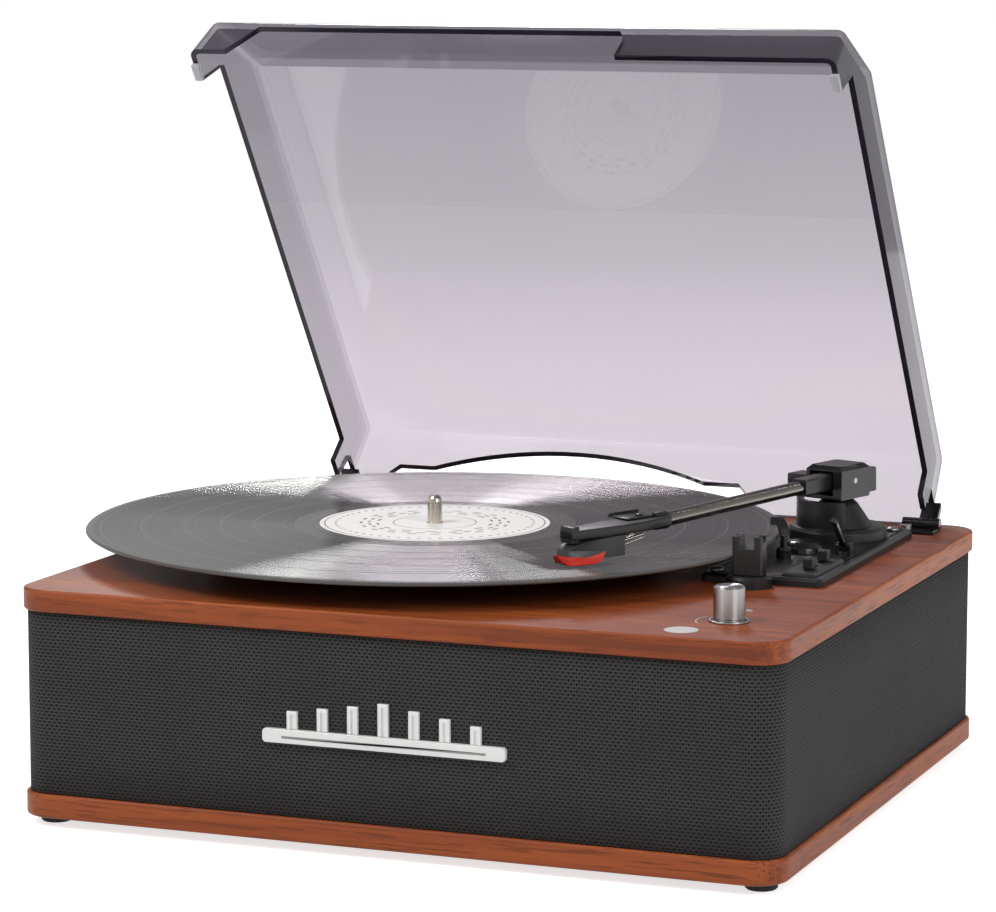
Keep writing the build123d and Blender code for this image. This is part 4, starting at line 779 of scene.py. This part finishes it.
def around_cabinet(run):
    """The place and direction on the cloth's path, a distance from its seam at the back."""
    width, depth = cloth_high.x - cloth_low.x, cloth_high.y - cloth_low.y
    quarter = cloth_corner * pi / 2
    x, y, heading = cloth_seam_x, cloth_high.y, pi
    stretches = [(cloth_seam_x - cloth_low.x - cloth_corner, False), (quarter, True),
                 (depth - 2 * cloth_corner, False), (quarter, True),
                 (width - 2 * cloth_corner, False), (quarter, True),
                 (depth - 2 * cloth_corner, False), (quarter, True),
                 (cloth_high.x - cloth_corner - cloth_seam_x, False)]
    for length, bends in stretches:
        step = min(run, length)
        if bends:
            turn = step / cloth_corner
            centre_x, centre_y = x - cloth_corner * sin(heading), y + cloth_corner * cos(heading)
            heading += turn
            x, y = centre_x + cloth_corner * sin(heading), centre_y - cloth_corner * cos(heading)
        else:
            x, y = x + step * cos(heading), y + step * sin(heading)
        run -= step
        if run <= 1e-9:
            break
    return x, y


def cloth_length():
    width, depth = cloth_high.x - cloth_low.x, cloth_high.y - cloth_low.y
    return 2 * (width + depth) - 8 * cloth_corner + tau * cloth_corner


def make_grille_cloth():
    length, height = cloth_length(), cloth_high.z - cloth_low.z
    bm = bmesh.new()
    bmesh.ops.create_grid(bm, x_segments=520, y_segments=1, size=0.5)
    bmesh.ops.scale(bm, vec=(length, height, 1), verts=bm.verts)
    bmesh.ops.translate(bm, vec=(length / 2, height / 2 + cloth_low.z, 0), verts=bm.verts)
    for point, normal in (((window_half, 0, 0), (1, 0, 0)), ((length - window_half, 0, 0), (1, 0, 0)),
                          ((0, window_low, 0), (0, 1, 0)), ((0, window_high, 0), (0, 1, 0))):
        everything = bm.verts[:] + bm.edges[:] + bm.faces[:]
        bmesh.ops.bisect_plane(bm, geom=everything, dist=0.0001, plane_co=point, plane_no=normal)
    cut = []
    for face in bm.faces:
        middle = face.calc_center_median()
        near_seam = middle.x < window_half or middle.x > length - window_half
        if near_seam and window_low < middle.y < window_high:
            cut.append(face)
    bmesh.ops.delete(bm, geom=cut, context="FACES")
    weave = bm.loops.layers.uv.new("weave")
    for face in bm.faces:
        for loop in face.loops:
            loop[weave].uv = (loop.vert.co.x / 1000, loop.vert.co.y / 1000)
    for vert in bm.verts:
        x, y = around_cabinet(vert.co.x)
        vert.co = (x, y, vert.co.y)
    bmesh.ops.remove_doubles(bm, verts=bm.verts, dist=0.001)
    middle_front = min(bm.faces, key=lambda face: face.calc_center_median().y)
    middle_front.normal_update()
    if middle_front.normal.y > 0:
        bmesh.ops.reverse_faces(bm, faces=bm.faces)
    obj = finish_piece(bm, "grille_cloth_wrap", "cabinet", cloth, ("grille_cloth",),
                       keep_normals=True)
    thick = obj.modifiers.new("cloth_thickness", "SOLIDIFY")
    thick.thickness = cloth_thickness / 1000
    thick.offset = -1.0


make_grille_cloth()

# %% [markdown]
# ## The badge
#
# A cast bar lies across the front, with a line sunk along its face whose darker grey is painted
# shade, and seven stepped posts stand on it like an old skyline. The bar starts as a flat outline
# that is extruded and bevelled.
# Its front face is inset twice, and the innermost face is pushed in to make the line. The posts
# are copies of the solid ones, just as wide and tall, which only get a rounded edge.

# %% Badge bar and posts
bar_low, bar_high = low_mm("badge_bar"), high_mm("badge_bar")
line_inset = 2.25
line_depth = 0.45
line_end_gap = 6.0
# The sunk line's darker grey is painted shade in the groove: the bar is one metal.
groove_painted_shade = make_moulded("badge_groove_painted_shade", (0.260, 0.255, 0.250), 0.5, 600.0, 0.00001, 0.2)


def make_badge_bar():
    bm = bmesh.new()
    slab(bm, bar_low, bar_high)
    upright = [e for e in bm.edges if abs(e.verts[0].co.y - e.verts[1].co.y) > 0.5]
    bevel(bm, upright, 1.6, 8)
    front = min(bm.faces, key=lambda face: face.calc_center_median().y)
    bevel(bm, front.edges, 0.45, 3)
    bm.faces.ensure_lookup_table()
    front = min(bm.faces, key=lambda face: face.calc_center_median().y)
    bmesh.ops.inset_region(bm, faces=[front], thickness=line_inset - 0.30, depth=0.0)
    bmesh.ops.translate(bm, vec=(0, line_depth, 0), verts=front.verts[:])
    inner = front.verts[:]
    right = [vert for vert in inner if vert.co.x > 0]
    left = [vert for vert in inner if vert.co.x < 0]
    bmesh.ops.translate(bm, vec=(-line_end_gap, 0, -0.4), verts=right)
    bmesh.ops.translate(bm, vec=(line_end_gap, 0, -0.4), verts=left)
    # The sunk face takes the painted shade.
    front.material_index = 1
    finish_piece(bm, "badge_nameless_bar", "cabinet", [badge_silver, groove_painted_shade], ("badge_bar",))


make_badge_bar()
refined("badge_posts", "badge_fluted_posts", "cabinet", badge_silver, 0.22, 2)

# %% [markdown]
# ## Record, labels and spindle
#
# Round things are spun: half of the cross-section is drawn as a line of radius and height, and
# swept once round the spindle's axis. The record is thinner between its rim and its label than it
# is at either, so that stacked records do not touch where they play. Its rim is rounded.

# %% Spin the record


def make_record():
    thick = record_high.z - record_low.z
    hole = 3.65
    dead_wax = label_radius + 3.0
    land = 0.1
    outline = softened([
        (hole, land + 0.25), (hole + 0.3, land), (label_radius, land), (dead_wax, land),
        (dead_wax + 1.2, land + 0.18), (record_radius - 6.5, land + 0.18), (record_radius - 4.6, land),
        (record_radius - 0.8, land), (record_radius, thick / 2 - 0.2), (record_radius, thick / 2 + 0.2),
        (record_radius - 0.8, thick - land), (record_radius - 4.6, thick - land),
        (record_radius - 6.5, thick - land - 0.18), (dead_wax + 1.2, thick - land - 0.18),
        (dead_wax, thick - land), (label_radius, thick - land), (hole + 0.3, thick - land),
        (hole, thick - land - 0.25),
    ], 0.35, 3)
    bm = spun(outline, platter_x, platter_y, record_low.z, 256, closed=True)
    finish_piece(bm, "long_playing_record", "platter_set", vinyl, ("record",), sharp=50.0)


def make_labels():
    hole, thick, edge = 3.75, 0.1, 0.05
    outline = [(hole, 0.0), (label_radius - edge, 0.0), (label_radius, edge), (label_radius - edge, thick),
               (hole, thick)]
    bm = bmesh.new()
    for low in (record_low.z, record_high.z - thick):
        turned(bm, outline, platter_x, platter_y, low, 160, closed=True)
    finish_piece(bm, "paper_labels", "platter_set", label_paper, ("record_labels",), sharp=20.0)


def make_spindle():
    low, high = low_mm("spindle").z, high_mm("spindle").z
    outline = softened([
        (0.0, low), (3.6, low), (3.6, record_high.z), (3.2, record_high.z + 0.05), (3.2, high - 3.0),
        (2.9, high - 1.6), (2.1, high - 0.5), (1.0, high), (0.0, high),
    ], 0.6, 4)
    bm = spun(outline, platter_x, platter_y, steps=64)
    finish_piece(bm, "centre_spindle", "platter_set", spindle_metal, ("spindle",), sharp=60.0)


make_record()
make_labels()
make_spindle()

# %% [markdown]
# ## Volume knob and its collar
#
# The knob is a turned aluminium cap. Its top has a bright chamfer, its face is sunk a little, and a
# fine groove runs round its foot. The collar round it, and the two marks printed beside it, are
# thin pieces.

# %% Knob, collar and printed marks
knob_low, knob_high = low_mm("volume_knob"), high_mm("volume_knob")
knob_x, knob_y = (knob_low.x + knob_high.x) / 2, (knob_low.y + knob_high.y) / 2
knob_radius = (knob_high.x - knob_low.x) / 2
print_thickness = 0.05
spot_x, spot_y, spot_radius = 120.3, -135.8, 6.7
arc_inner, arc_outer = 12.9, 13.35
arc_start, arc_sweep = 150, 70


def make_knob():
    low, high, outer = knob_low.z, knob_high.z, knob_radius
    outline = [
        (0.0, low + 4.2), (4.3, low + 4.2), (4.3, low), (outer - 0.25, low), (outer, low + 0.25),
        (outer, low + 0.9), (outer - 0.3, low + 1.1), (outer, low + 1.3), (outer, high - 0.75),
        (outer - 0.7, high - 0.05), (outer - 0.8, high), (2.6, high), (2.3, high - 0.12), (0.0, high - 0.12),
    ]
    finish_piece(spun(outline, knob_x, knob_y, steps=128), "volume_cap", "volume_control",
                 turned_metal, ("volume_knob",), sharp=25.0)


def make_collar():
    low, high = low_mm("knob_collar"), high_mm("knob_collar")
    inner, outer = 6.8, (high.x - low.x) / 2
    outline = softened([(inner, low.z), (outer, low.z), (outer, high.z), (inner, high.z), (inner, low.z)],
                       0.25, 3)
    finish_piece(spun(outline, knob_x, knob_y), "knob_trim_ring", "cabinet", aluminium,
                 ("knob_collar",), sharp=50.0)


def make_printed_marks():
    """A pale spot in front of the knob's left and a thin volume arc round its left."""
    thick = print_thickness
    axis = (knob_x, knob_y, 0)
    spot = [(0.0, 0.0), (spot_radius, 0.0), (spot_radius + thick, thick), (0.0, thick)]
    bm = spun(spot, spot_x, spot_y, deck, 64)
    known = set(bm.verts)
    strip = [(arc_inner, 0.0), (arc_outer, 0.0), (arc_outer, thick), (arc_inner, thick)]
    line = [bm.verts.new((knob_x + r, knob_y, deck + z)) for r, z in strip]
    section = bm.faces.new(line)
    bmesh.ops.rotate(bm, cent=axis, matrix=Matrix.Rotation(radians(arc_start), 3, "Z"),
                     verts=newest(bm, known))
    bmesh.ops.spin(bm, geom=[section] + section.edges[:] + line, cent=axis, axis=(0, 0, 1),
                   angle=radians(arc_sweep), steps=28)
    finish_piece(bm, "printed_marks", "cabinet", ink, sharp=40.0)


make_knob()
make_collar()
make_printed_marks()

# %% [markdown]
# ## Screws with a cross recess
#
# Every screw that shows is a small dome with a cross pressed into it. The dome is spun, and the
# cross is a pair of crossed bars that a Boolean takes out of it. The result is read back as a
# plain mesh and the cutter is thrown away.

# %% Screw heads
# Each screw is a place on the deck and the turn at which its cross stopped.
screw_places = ((97.5, -22.5, 20), (97.5, 109.5, 55), (137.3, 104.0, 5))
head_low = deck + 3.5
shank_radius, head_radius = 1.5, 2.8
cross_reach, cross_width, cross_depth = 1.55, 0.5, 0.9


def carved(bm, cutter):
    """The first bmesh with the second one taken out of it."""
    objects = []
    for source, name in ((bm, "blank"), (cutter, "cutter")):
        bmesh.ops.remove_doubles(source, verts=source.verts, dist=0.0005)
        bmesh.ops.recalc_face_normals(source, faces=source.faces)
        objects.append(to_object(source, name))
    blank, tool = objects
    cut = blank.modifiers.new("cut", "BOOLEAN")
    cut.operation = "DIFFERENCE"
    cut.solver = "EXACT"
    cut.use_self = True
    cut.object = tool
    depsgraph = bpy.context.evaluated_depsgraph_get()
    result = bmesh.new()
    result.from_mesh(blank.evaluated_get(depsgraph).to_mesh())
    for obj in objects:
        mesh = obj.data
        bpy.data.objects.remove(obj)
        bpy.data.meshes.remove(mesh)
    return result


def crossed_bars(bm, x, y, low, high, reach, width, turn):
    for extra in (0, 90):
        place = matrix(x, y, 0, turn_z=turn + extra)
        slab(bm, (-reach, -width / 2, low), (reach, width / 2, high), place=place)


def make_plate_screws():
    low, top = low_mm("arm_plate_screws").z, high_mm("arm_plate_screws").z
    outline = softened([
        (0.0, low), (shank_radius, low), (shank_radius, head_low), (head_radius, head_low),
        (head_radius, top - 0.8), (1.6, top - 0.1), (0.0, top),
    ], 0.5, 4)
    domes, bars = bmesh.new(), bmesh.new()
    for x, y, turn in screw_places:
        turned(domes, outline, x, y, 0.0, 48)
        crossed_bars(bars, x, y, top - cross_depth, top + 1.0, cross_reach, cross_width, turn)
    finish_piece(carved(domes, bars), "arm_plate_cross_screws", "cabinet", steel,
                 ("arm_plate_screws",), sharp=40.0)


make_plate_screws()

# %% [markdown]
# ## The tonearm's places
#
# The arm leans down by a degree, is turned over the record, and its headshell is set at an angle,
# so its pieces are easiest to draw along a straight axis. Three frames carry them to their place:
# one turned with the arm, one also tilted, and one at the headshell's neck.

# %% Frames along the tonearm
arm_turned = matrix(119.0, 80.0, deck, turn_z=-107.4)
arm_tilted = arm_turned @ matrix(0, 0, 29.05, turn_y=1.0)
shell_place = arm_tilted @ matrix(127.4, 0, 0, turn_z=-10.9)
shell_top = 2.1
print("headshell neck at", [round(v, 1) for v in shell_place.translation])

# %% [markdown]
# ## The arm's larger mouldings
#
# The plate, the pivot with its guard wall, the yoke and the rest already have the right shape as
# solids, but every edge of theirs is razor sharp, and real mouldings never are. A copy is merged
# into whole faces, and a small Bevel modifier rounds the edges, which then catch the light.

# %% Soften the arm's mouldings
refined("arm_plate", "arm_plate_moulding", "cabinet", black_plastic)
refined("arm_pivot_base", "arm_pivot_moulding", "cabinet", black_plastic, edge=0.35)
refined("arm_rest_post", "arm_rest_clip", "cabinet", black_plastic, edge=0.5)
refined("arm_yoke", "arm_yoke_housing", "arm_turret", gloss_black, edge=0.5, segments=4)
refined("tube_holder", "arm_tube_sleeve", "arm", black_plastic, edge=0.4)
refined("counterweight", "arm_end_weight", "arm", weight_paint, 0.5, 4)
refined("arm_tube", "arm_tube_pipe", "arm", gunmetal, 0.1, 2)

# %% [markdown]
# ## The pickup
#
# A pickup is a stack of small mouldings: the headshell that holds it, the grey cartridge, four
# contact pins behind it, and under it the red stylus holder, which pulls off when the needle is
# worn. The cartridge and the stylus holder narrow towards the front, so each one is drawn as a side
# view whose points also have a half width. The headshell is a flat plate with a slab under its nose
# and a short ring round its neck, where a real one is locked to the tube. The needle's tip is put
# at the height of the solid one, because the frame knows where the record's surface is.

# %% Headshell, cartridge, pins and stylus
# Lengths run from the headshell's neck to its nose.
nose = 54.0
lift_start, lift_stop = 5.0, 21.5
cartridge_start = 27.3
pin_start, pin_stop, pin_radius = 14.5, 27.5, 0.62
needle_root = Vector((50.7, 0.0, -12.0))


def pickup_piece(bm, name, material, node, sharp=35.0):
    finish_piece(bm, name, "arm", material, (node,), shell_place, sharp)


def tapered(bm, outline, rounding=0.35):
    """A solid from a side view of (x, z, half width) points, whose long edges are cut off at a slant."""
    middle_x = sum(x for x, z, half in outline) / len(outline)
    middle_z = sum(z for x, z, half in outline) / len(outline)
    inner = []
    for x, z, half in outline:
        inward = Vector((middle_x - x, middle_z - z)).normalized() * rounding
        inner.append((x + inward.x, z + inward.y, half))
    rings = [[bm.verts.new((x, -half, z)) for x, z, half in inner],
             [bm.verts.new((x, rounding - half, z)) for x, z, half in outline],
             [bm.verts.new((x, half - rounding, z)) for x, z, half in outline],
             [bm.verts.new((x, half, z)) for x, z, half in inner]]
    count = len(outline)
    for ring, following in zip(rings, rings[1:]):
        for i in range(count):
            j = (i + 1) % count
            bm.faces.new((ring[i], following[i], following[j], ring[j]))
    ends = [bm.faces.new(rings[0]), bm.faces.new(rings[-1][::-1])]
    bmesh.ops.triangulate(bm, faces=ends)


def make_headshell():
    outline = [(0.0, -4.2), (16.0, -7.0), (30.0, -7.0), (nose, -3.7), (nose, 3.7), (30.0, 7.0), (16.0, 7.0),
               (0.0, 4.2)]
    bm = bmesh.new()
    plate_from(bm, outline, -2.0, shell_top, 0.6, 3)
    slab(bm, (nose - 4.0, -3.7, -3.3), (nose, 3.7, shell_top + 1.3), 0.4)
    ring = softened([(0.0, -0.6), (3.7, -0.6), (3.7, 6.2), (0.0, 6.2)], 0.5, 3)
    turned(bm, ring, steps=48, place=matrix(turn_y=90))
    pickup_piece(bm, "headshell_casting", black_plastic, "headshell")


def make_finger_lift():
    bm = bmesh.new()
    slab(bm, (lift_start, -10.5, shell_top), (lift_stop, 1.0, shell_top + 0.9), 0.25)
    slab(bm, (lift_start, -11.3, shell_top), (lift_stop, -10.4, shell_top + 1.7), 0.25)
    screw_head = softened([(0.0, 0.8), (1.7, 0.8), (1.7, 1.5), (0.0, 1.7)], 0.3)
    turned(bm, screw_head, 12.0, -2.5, shell_top, 40)
    pickup_piece(bm, "finger_lift_strip", gloss_black, "finger_lift")


def make_cartridge():
    bm = bmesh.new()
    tapered(bm, [
        (cartridge_start, -2.1, 6.0), (cartridge_start, -10.6, 6.0), (36.6, -10.6, 6.0),
        (37.6, -7.8, 6.0), (43.0, -8.8, 6.0),
        (49.0, -9.2, 5.9), (54.0, -8.8, 4.7), (56.6, -8.0, 3.4), (56.0, -5.7, 3.4), (53.0, -4.2, 4.4),
        (47.0, -3.2, 5.7), (38.0, -2.3, 6.0),
    ])
    slab(bm, (cartridge_start, -5.2, -2.6), (36.0, 5.2, shell_top - 1.6), 0.2)
    pickup_piece(bm, "pickup_cartridge", cartridge_grey, "cartridge")


def make_pins():
    bm = bmesh.new()
    for across in (-2.4, 2.4):
        for low, lift in ((-5.5, 1.7), (-7.4, 2.2)):
            rod(bm, (pin_stop, across, low), (pin_start, across, low + lift), pin_radius, steps=20)
    pickup_piece(bm, "pickup_pins", pin_plate, "cartridge_pins", sharp=50.0)


def make_stylus():
    bm = bmesh.new()
    tapered(bm, [
        (60.0, -7.4, 1.5), (58.4, -10.2, 2.7), (56.2, -11.8, 4.3), (50.0, -12.2, 5.7), (43.2, -12.2, 6.1),
        (39.9, -11.3, 6.1), (37.6, -7.6, 6.1), (43.0, -8.5, 6.1), (49.0, -8.9, 6.0), (55.0, -8.4, 4.7),
    ])
    tip = Vector((*(shell_place @ needle_root).xy, low_mm("stylus").z))
    rod(bm, needle_root, shell_place.inverted() @ tip, 0.5, 0.12, steps=20)
    pickup_piece(bm, "stylus_wedge", red_plastic, "stylus")


make_headshell()
make_finger_lift()
make_cartridge()
make_pins()
make_stylus()

# %% [markdown]
# ## Levers, switches and the lifter
#
# A lever with a pale ball raises a curved finger under the tube, so that the needle comes off the
# record without a touch. Two small slide switches set the speed and the automatic stop. They are
# injection moulded, so softened copies of the solids will do. The lever is one piece in two
# finishes: each face takes the pale one if it lies inside the ball.

# %% Small controls
lever_pivot = Vector((135.3, 35.5, deck + 6.6))
lever_reach, lever_lean, ball_radius = 20.7, radians(40), 2.4
refined("cue_housing", "arm_lifter_housing", "cabinet", gloss_black, edge=0.35)
lever = refined("cue_lever", "arm_lifter_lever", "cue_handle", [gloss_black, chrome], 0.2, 2)
ball_place = lever_pivot + lever_reach * Vector((0.0, cos(lever_lean), sin(lever_lean)))
for face in lever.data.polygons:
    face.material_index = int((face.center * 1000 - ball_place).length < ball_radius)
refined("cue_lift", "arm_lifter_hook", "cue_platform", gloss_black, edge=0.35)
refined("speed_knob", "speed_switch_cap", "speed_switch", black_plastic, edge=0.25, segments=2)
refined("auto_stop_knob", "auto_stop_cap", "auto_stop_switch", black_plastic, edge=0.25, segments=2)

# %% [markdown]
# ## Sockets at the back
#
# The rear plate carries a supply inlet, a small stereo socket and two phono sockets. The plate and
# the first two are black mouldings, and the phono sockets are pressed from plated steel, so they
# get the bright metal. Their bores stay open, because plugs go into them.

# %% Sockets
refined("jack_plate", "socket_plate", "cabinet", black_plastic)
refined("input_jacks", "input_sockets", "cabinet", gloss_black, edge=0.2, segments=2)
refined("rca_jacks", "phono_sockets", "cabinet", chrome, 0.15, 2)

# %% [markdown]
# ## Hinges
#
# Each hinge has a fixed leaf on the deck and a moving one that grips the cover's foot. The fixed one
# rides on the cabinet and the moving one on the lid, so that the joint between them can turn.

# %% Hinges
refined("hinge_brackets", "hinge_fixed_leaves", "cabinet", gloss_black)
refined("hinge_leaves", "hinge_moving_leaves", "lid", gloss_black)

# %% [markdown]
# ## The smoked dust cover
#
# The cover is one thin shell. Its large faces are clear smoke, and its sawn rims are almost black,
# so a copy of the solid is merged, and each face is tested for how much plastic lies behind it. A
# ray that leaves through the other side of a thin wall marks a clear face. A long way to travel
# marks a rim, and that face takes the rim's finish.

# %% Dust cover
cover_wall = 2.5


def make_dust_cover():
    bm = bmesh.new()
    bm.from_mesh(nodes["dust_cover"].data)
    bmesh.ops.remove_doubles(bm, verts=bm.verts, dist=0.000002)
    bmesh.ops.dissolve_limit(bm, angle_limit=radians(0.4), verts=bm.verts, edges=bm.edges)
    bmesh.ops.triangulate(bm, faces=bm.faces)
    bm.normal_update()
    tree = BVHTree.FromBMesh(bm)
    rims = 0
    for face in bm.faces:
        middle = face.calc_center_median()
        hit = tree.ray_cast(middle - face.normal * 0.00002, -face.normal)
        if hit[3] is None or hit[3] > 1.5 * cover_wall / 1000:
            face.material_index = 1
            rims += 1
    obj = dress(to_object(bm, "smoked_dust_cover"), "lid", [smoke, rim_smoke], ("dust_cover",),
                sharp=30.0)
    flat_faces = obj.modifiers.new("flat_faces", "WEIGHTED_NORMAL")
    flat_faces.mode = "FACE_AREA_WITH_ANGLE"
    flat_faces.weight = 100
    flat_faces.keep_sharp = True
    print("dust cover:", len(obj.data.polygons), "faces, of which", rims, "on the rims")


make_dust_cover()

# %% [markdown]
# ## Finishes for the solids that stay
#
# Boards, panels, speakers and the parts under the deck keep their CAD shape. Each one still gets a
# finish of its own, because the lid opens, the arm swings and the back can be looked at.

# %% Dress the remaining solids
kept_finishes = {
    wood: ["bottom_board", "top_board", "corner_posts"],
    board_black: ["front_baffle", "side_panels", "rear_panel", "board_components"],
    rubber: ["rubber_feet", "drive_belt", "platter_mat"],
    steel: ["steel_screws", "speaker_frames", "volume_pot", "motor_case", "motor_shaft", "tilt_pins",
            "hinge_pins"],
    ferrite: ["speaker_magnets"],
    paper: ["left_speaker_cone", "right_speaker_cone"],
    circuit: ["main_board"],
    aluminium: ["volume_shaft"],
    lens: ["pilot_lamp"],
    brass: ["bearing_bush", "motor_pulley"],
    black_plastic: ["platter"],
    bumper_rubber: ["cover_bumpers"],
}
for material, names in kept_finishes.items():
    for node in names:
        data = nodes[node].data
        data.materials.clear()
        data.materials.append(material)
print("finished", sum(len(names) for names in kept_finishes.values()), "kept solids")

# %% [markdown]
# ## Floor, light and the white room
#
# The object stands on a white floor in a white room. Three soft lamps light it at a plain level: one
# from the left and above, one that fills from the right, and one behind. A fourth, small lamp only
# shows in glossy surfaces and draws the gleam across the grooves. The room is white to the camera,
# dimmer in reflections that look upwards, and gives a weaker, even light to everything else, so
# that the background does not wash the wood out.

# %% Stage
floor_size = 6.0
room_back = (-0.36, 0.93, 0.0)
room_dim = 0.28
room_low_behind = 0.52
room_fill = 0.40
room_front_lift = 0.28


def make_floor():
    bm = bmesh.new()
    bmesh.ops.create_grid(bm, x_segments=1, y_segments=1, size=floor_size / 2)
    bmesh.ops.translate(bm, vec=(0, 0, cad_low[2]), verts=bm.verts)
    obj = to_object(bm, "floor")
    material, tree = bare_material("white_floor")
    plain = put(tree, "ShaderNodeBsdfDiffuse", {"Color": (0.80, 0.80, 0.80)})
    bright = put(tree, "ShaderNodeEmission", {"Color": (1, 1, 1), "Strength": 0.70})
    both = put(tree, "ShaderNodeAddShader", {0: plain.outputs["BSDF"], 1: bright.outputs["Emission"]})
    ray = put(tree, "ShaderNodeLightPath")
    seen = maths(tree, "MAXIMUM", ray.outputs["Is Camera Ray"], ray.outputs["Is Glossy Ray"])
    seen = maths(tree, "MAXIMUM", seen, ray.outputs["Is Transmission Ray"])
    put(tree, "ShaderNodeOutputMaterial", {"Surface": mix_shaders(tree, seen, plain, both)})
    obj.data.materials.append(material)


def make_world():
    """White behind the object and to the camera, and a dim room elsewhere in reflections."""
    world = bpy.data.worlds.new("white_room")
    world.use_nodes = True
    tree = world.node_tree
    tree.nodes.clear()
    ray = put(tree, "ShaderNodeLightPath")
    direction = put(tree, "ShaderNodeTexCoord").outputs["Generated"]
    behind = put(tree, "ShaderNodeVectorMath", {0: direction, 1: room_back}, operation="DOT_PRODUCT")
    height = parts_of(tree, direction)[2]
    back_part = spread(tree, behind.outputs["Value"], 0.0, 1.0, -0.35, 0.35)
    lifted = plus(tree, height, times(tree, minus(tree, 1.0, back_part), room_front_lift))
    low_part = spread(tree, back_part, 1.0, room_low_behind)
    reflected = spread(tree, lifted, 1.0, 0.0, 0.15, 0.65)
    reflected = plus(tree, times(tree, reflected, minus(tree, low_part, room_dim)), room_dim)
    glossy = maths(tree, "MAXIMUM", ray.outputs["Is Glossy Ray"], ray.outputs["Is Transmission Ray"])
    strength = plus(tree, times(tree, glossy, reflected), times(tree, minus(tree, 1.0, glossy), room_fill))
    strength = maths(tree, "MAXIMUM", strength, ray.outputs["Is Camera Ray"])
    room = put(tree, "ShaderNodeBackground", {"Color": (1, 1, 1), "Strength": strength})
    put(tree, "ShaderNodeOutputWorld", {"Surface": room.outputs["Background"]})
    scene.world = world


def add_lamp(name, place, aim, size, power, gleam_only=False):
    """A square lamp that looks at a point. One that is for gleams only lights no matt surface."""
    light = bpy.data.lights.new(name, "AREA")
    light.size = size
    light.energy = power
    obj = bpy.data.objects.new(name, light)
    obj.location = place
    obj.rotation_euler = (Vector(aim) - Vector(place)).to_track_quat("-Z", "Y").to_euler()
    obj.visible_diffuse = not gleam_only
    obj.visible_camera = False
    scene.collection.objects.link(obj)


make_floor()
make_world()
add_lamp("key_lamp", (-0.9, -0.9, 1.5), (0, 0, 0.08), 0.9, 15.0)
add_lamp("fill_lamp", (1.3, -0.7, 0.9), (0, 0, 0.08), 0.8, 9.0)
add_lamp("rear_lamp", (-0.62, 1.25, 1.35), (0, 0, 0.12), 0.42, 8.0)
add_lamp("record_gleam", (-0.681, 1.477, 1.15), (-0.039, 0, 0.108), 0.22, 9.0, gleam_only=True)
scene.view_settings.view_transform = "Standard"
print("stage ready")

# %% [markdown]
# ## The frame's box
#
# The dressed player has to fill the same box as the bare solids, so the bare solids' box is printed.

# %% Print the frame's box
print("CAD box", [round(v * 1000, 1) for v in (*cad_low, *cad_high)])
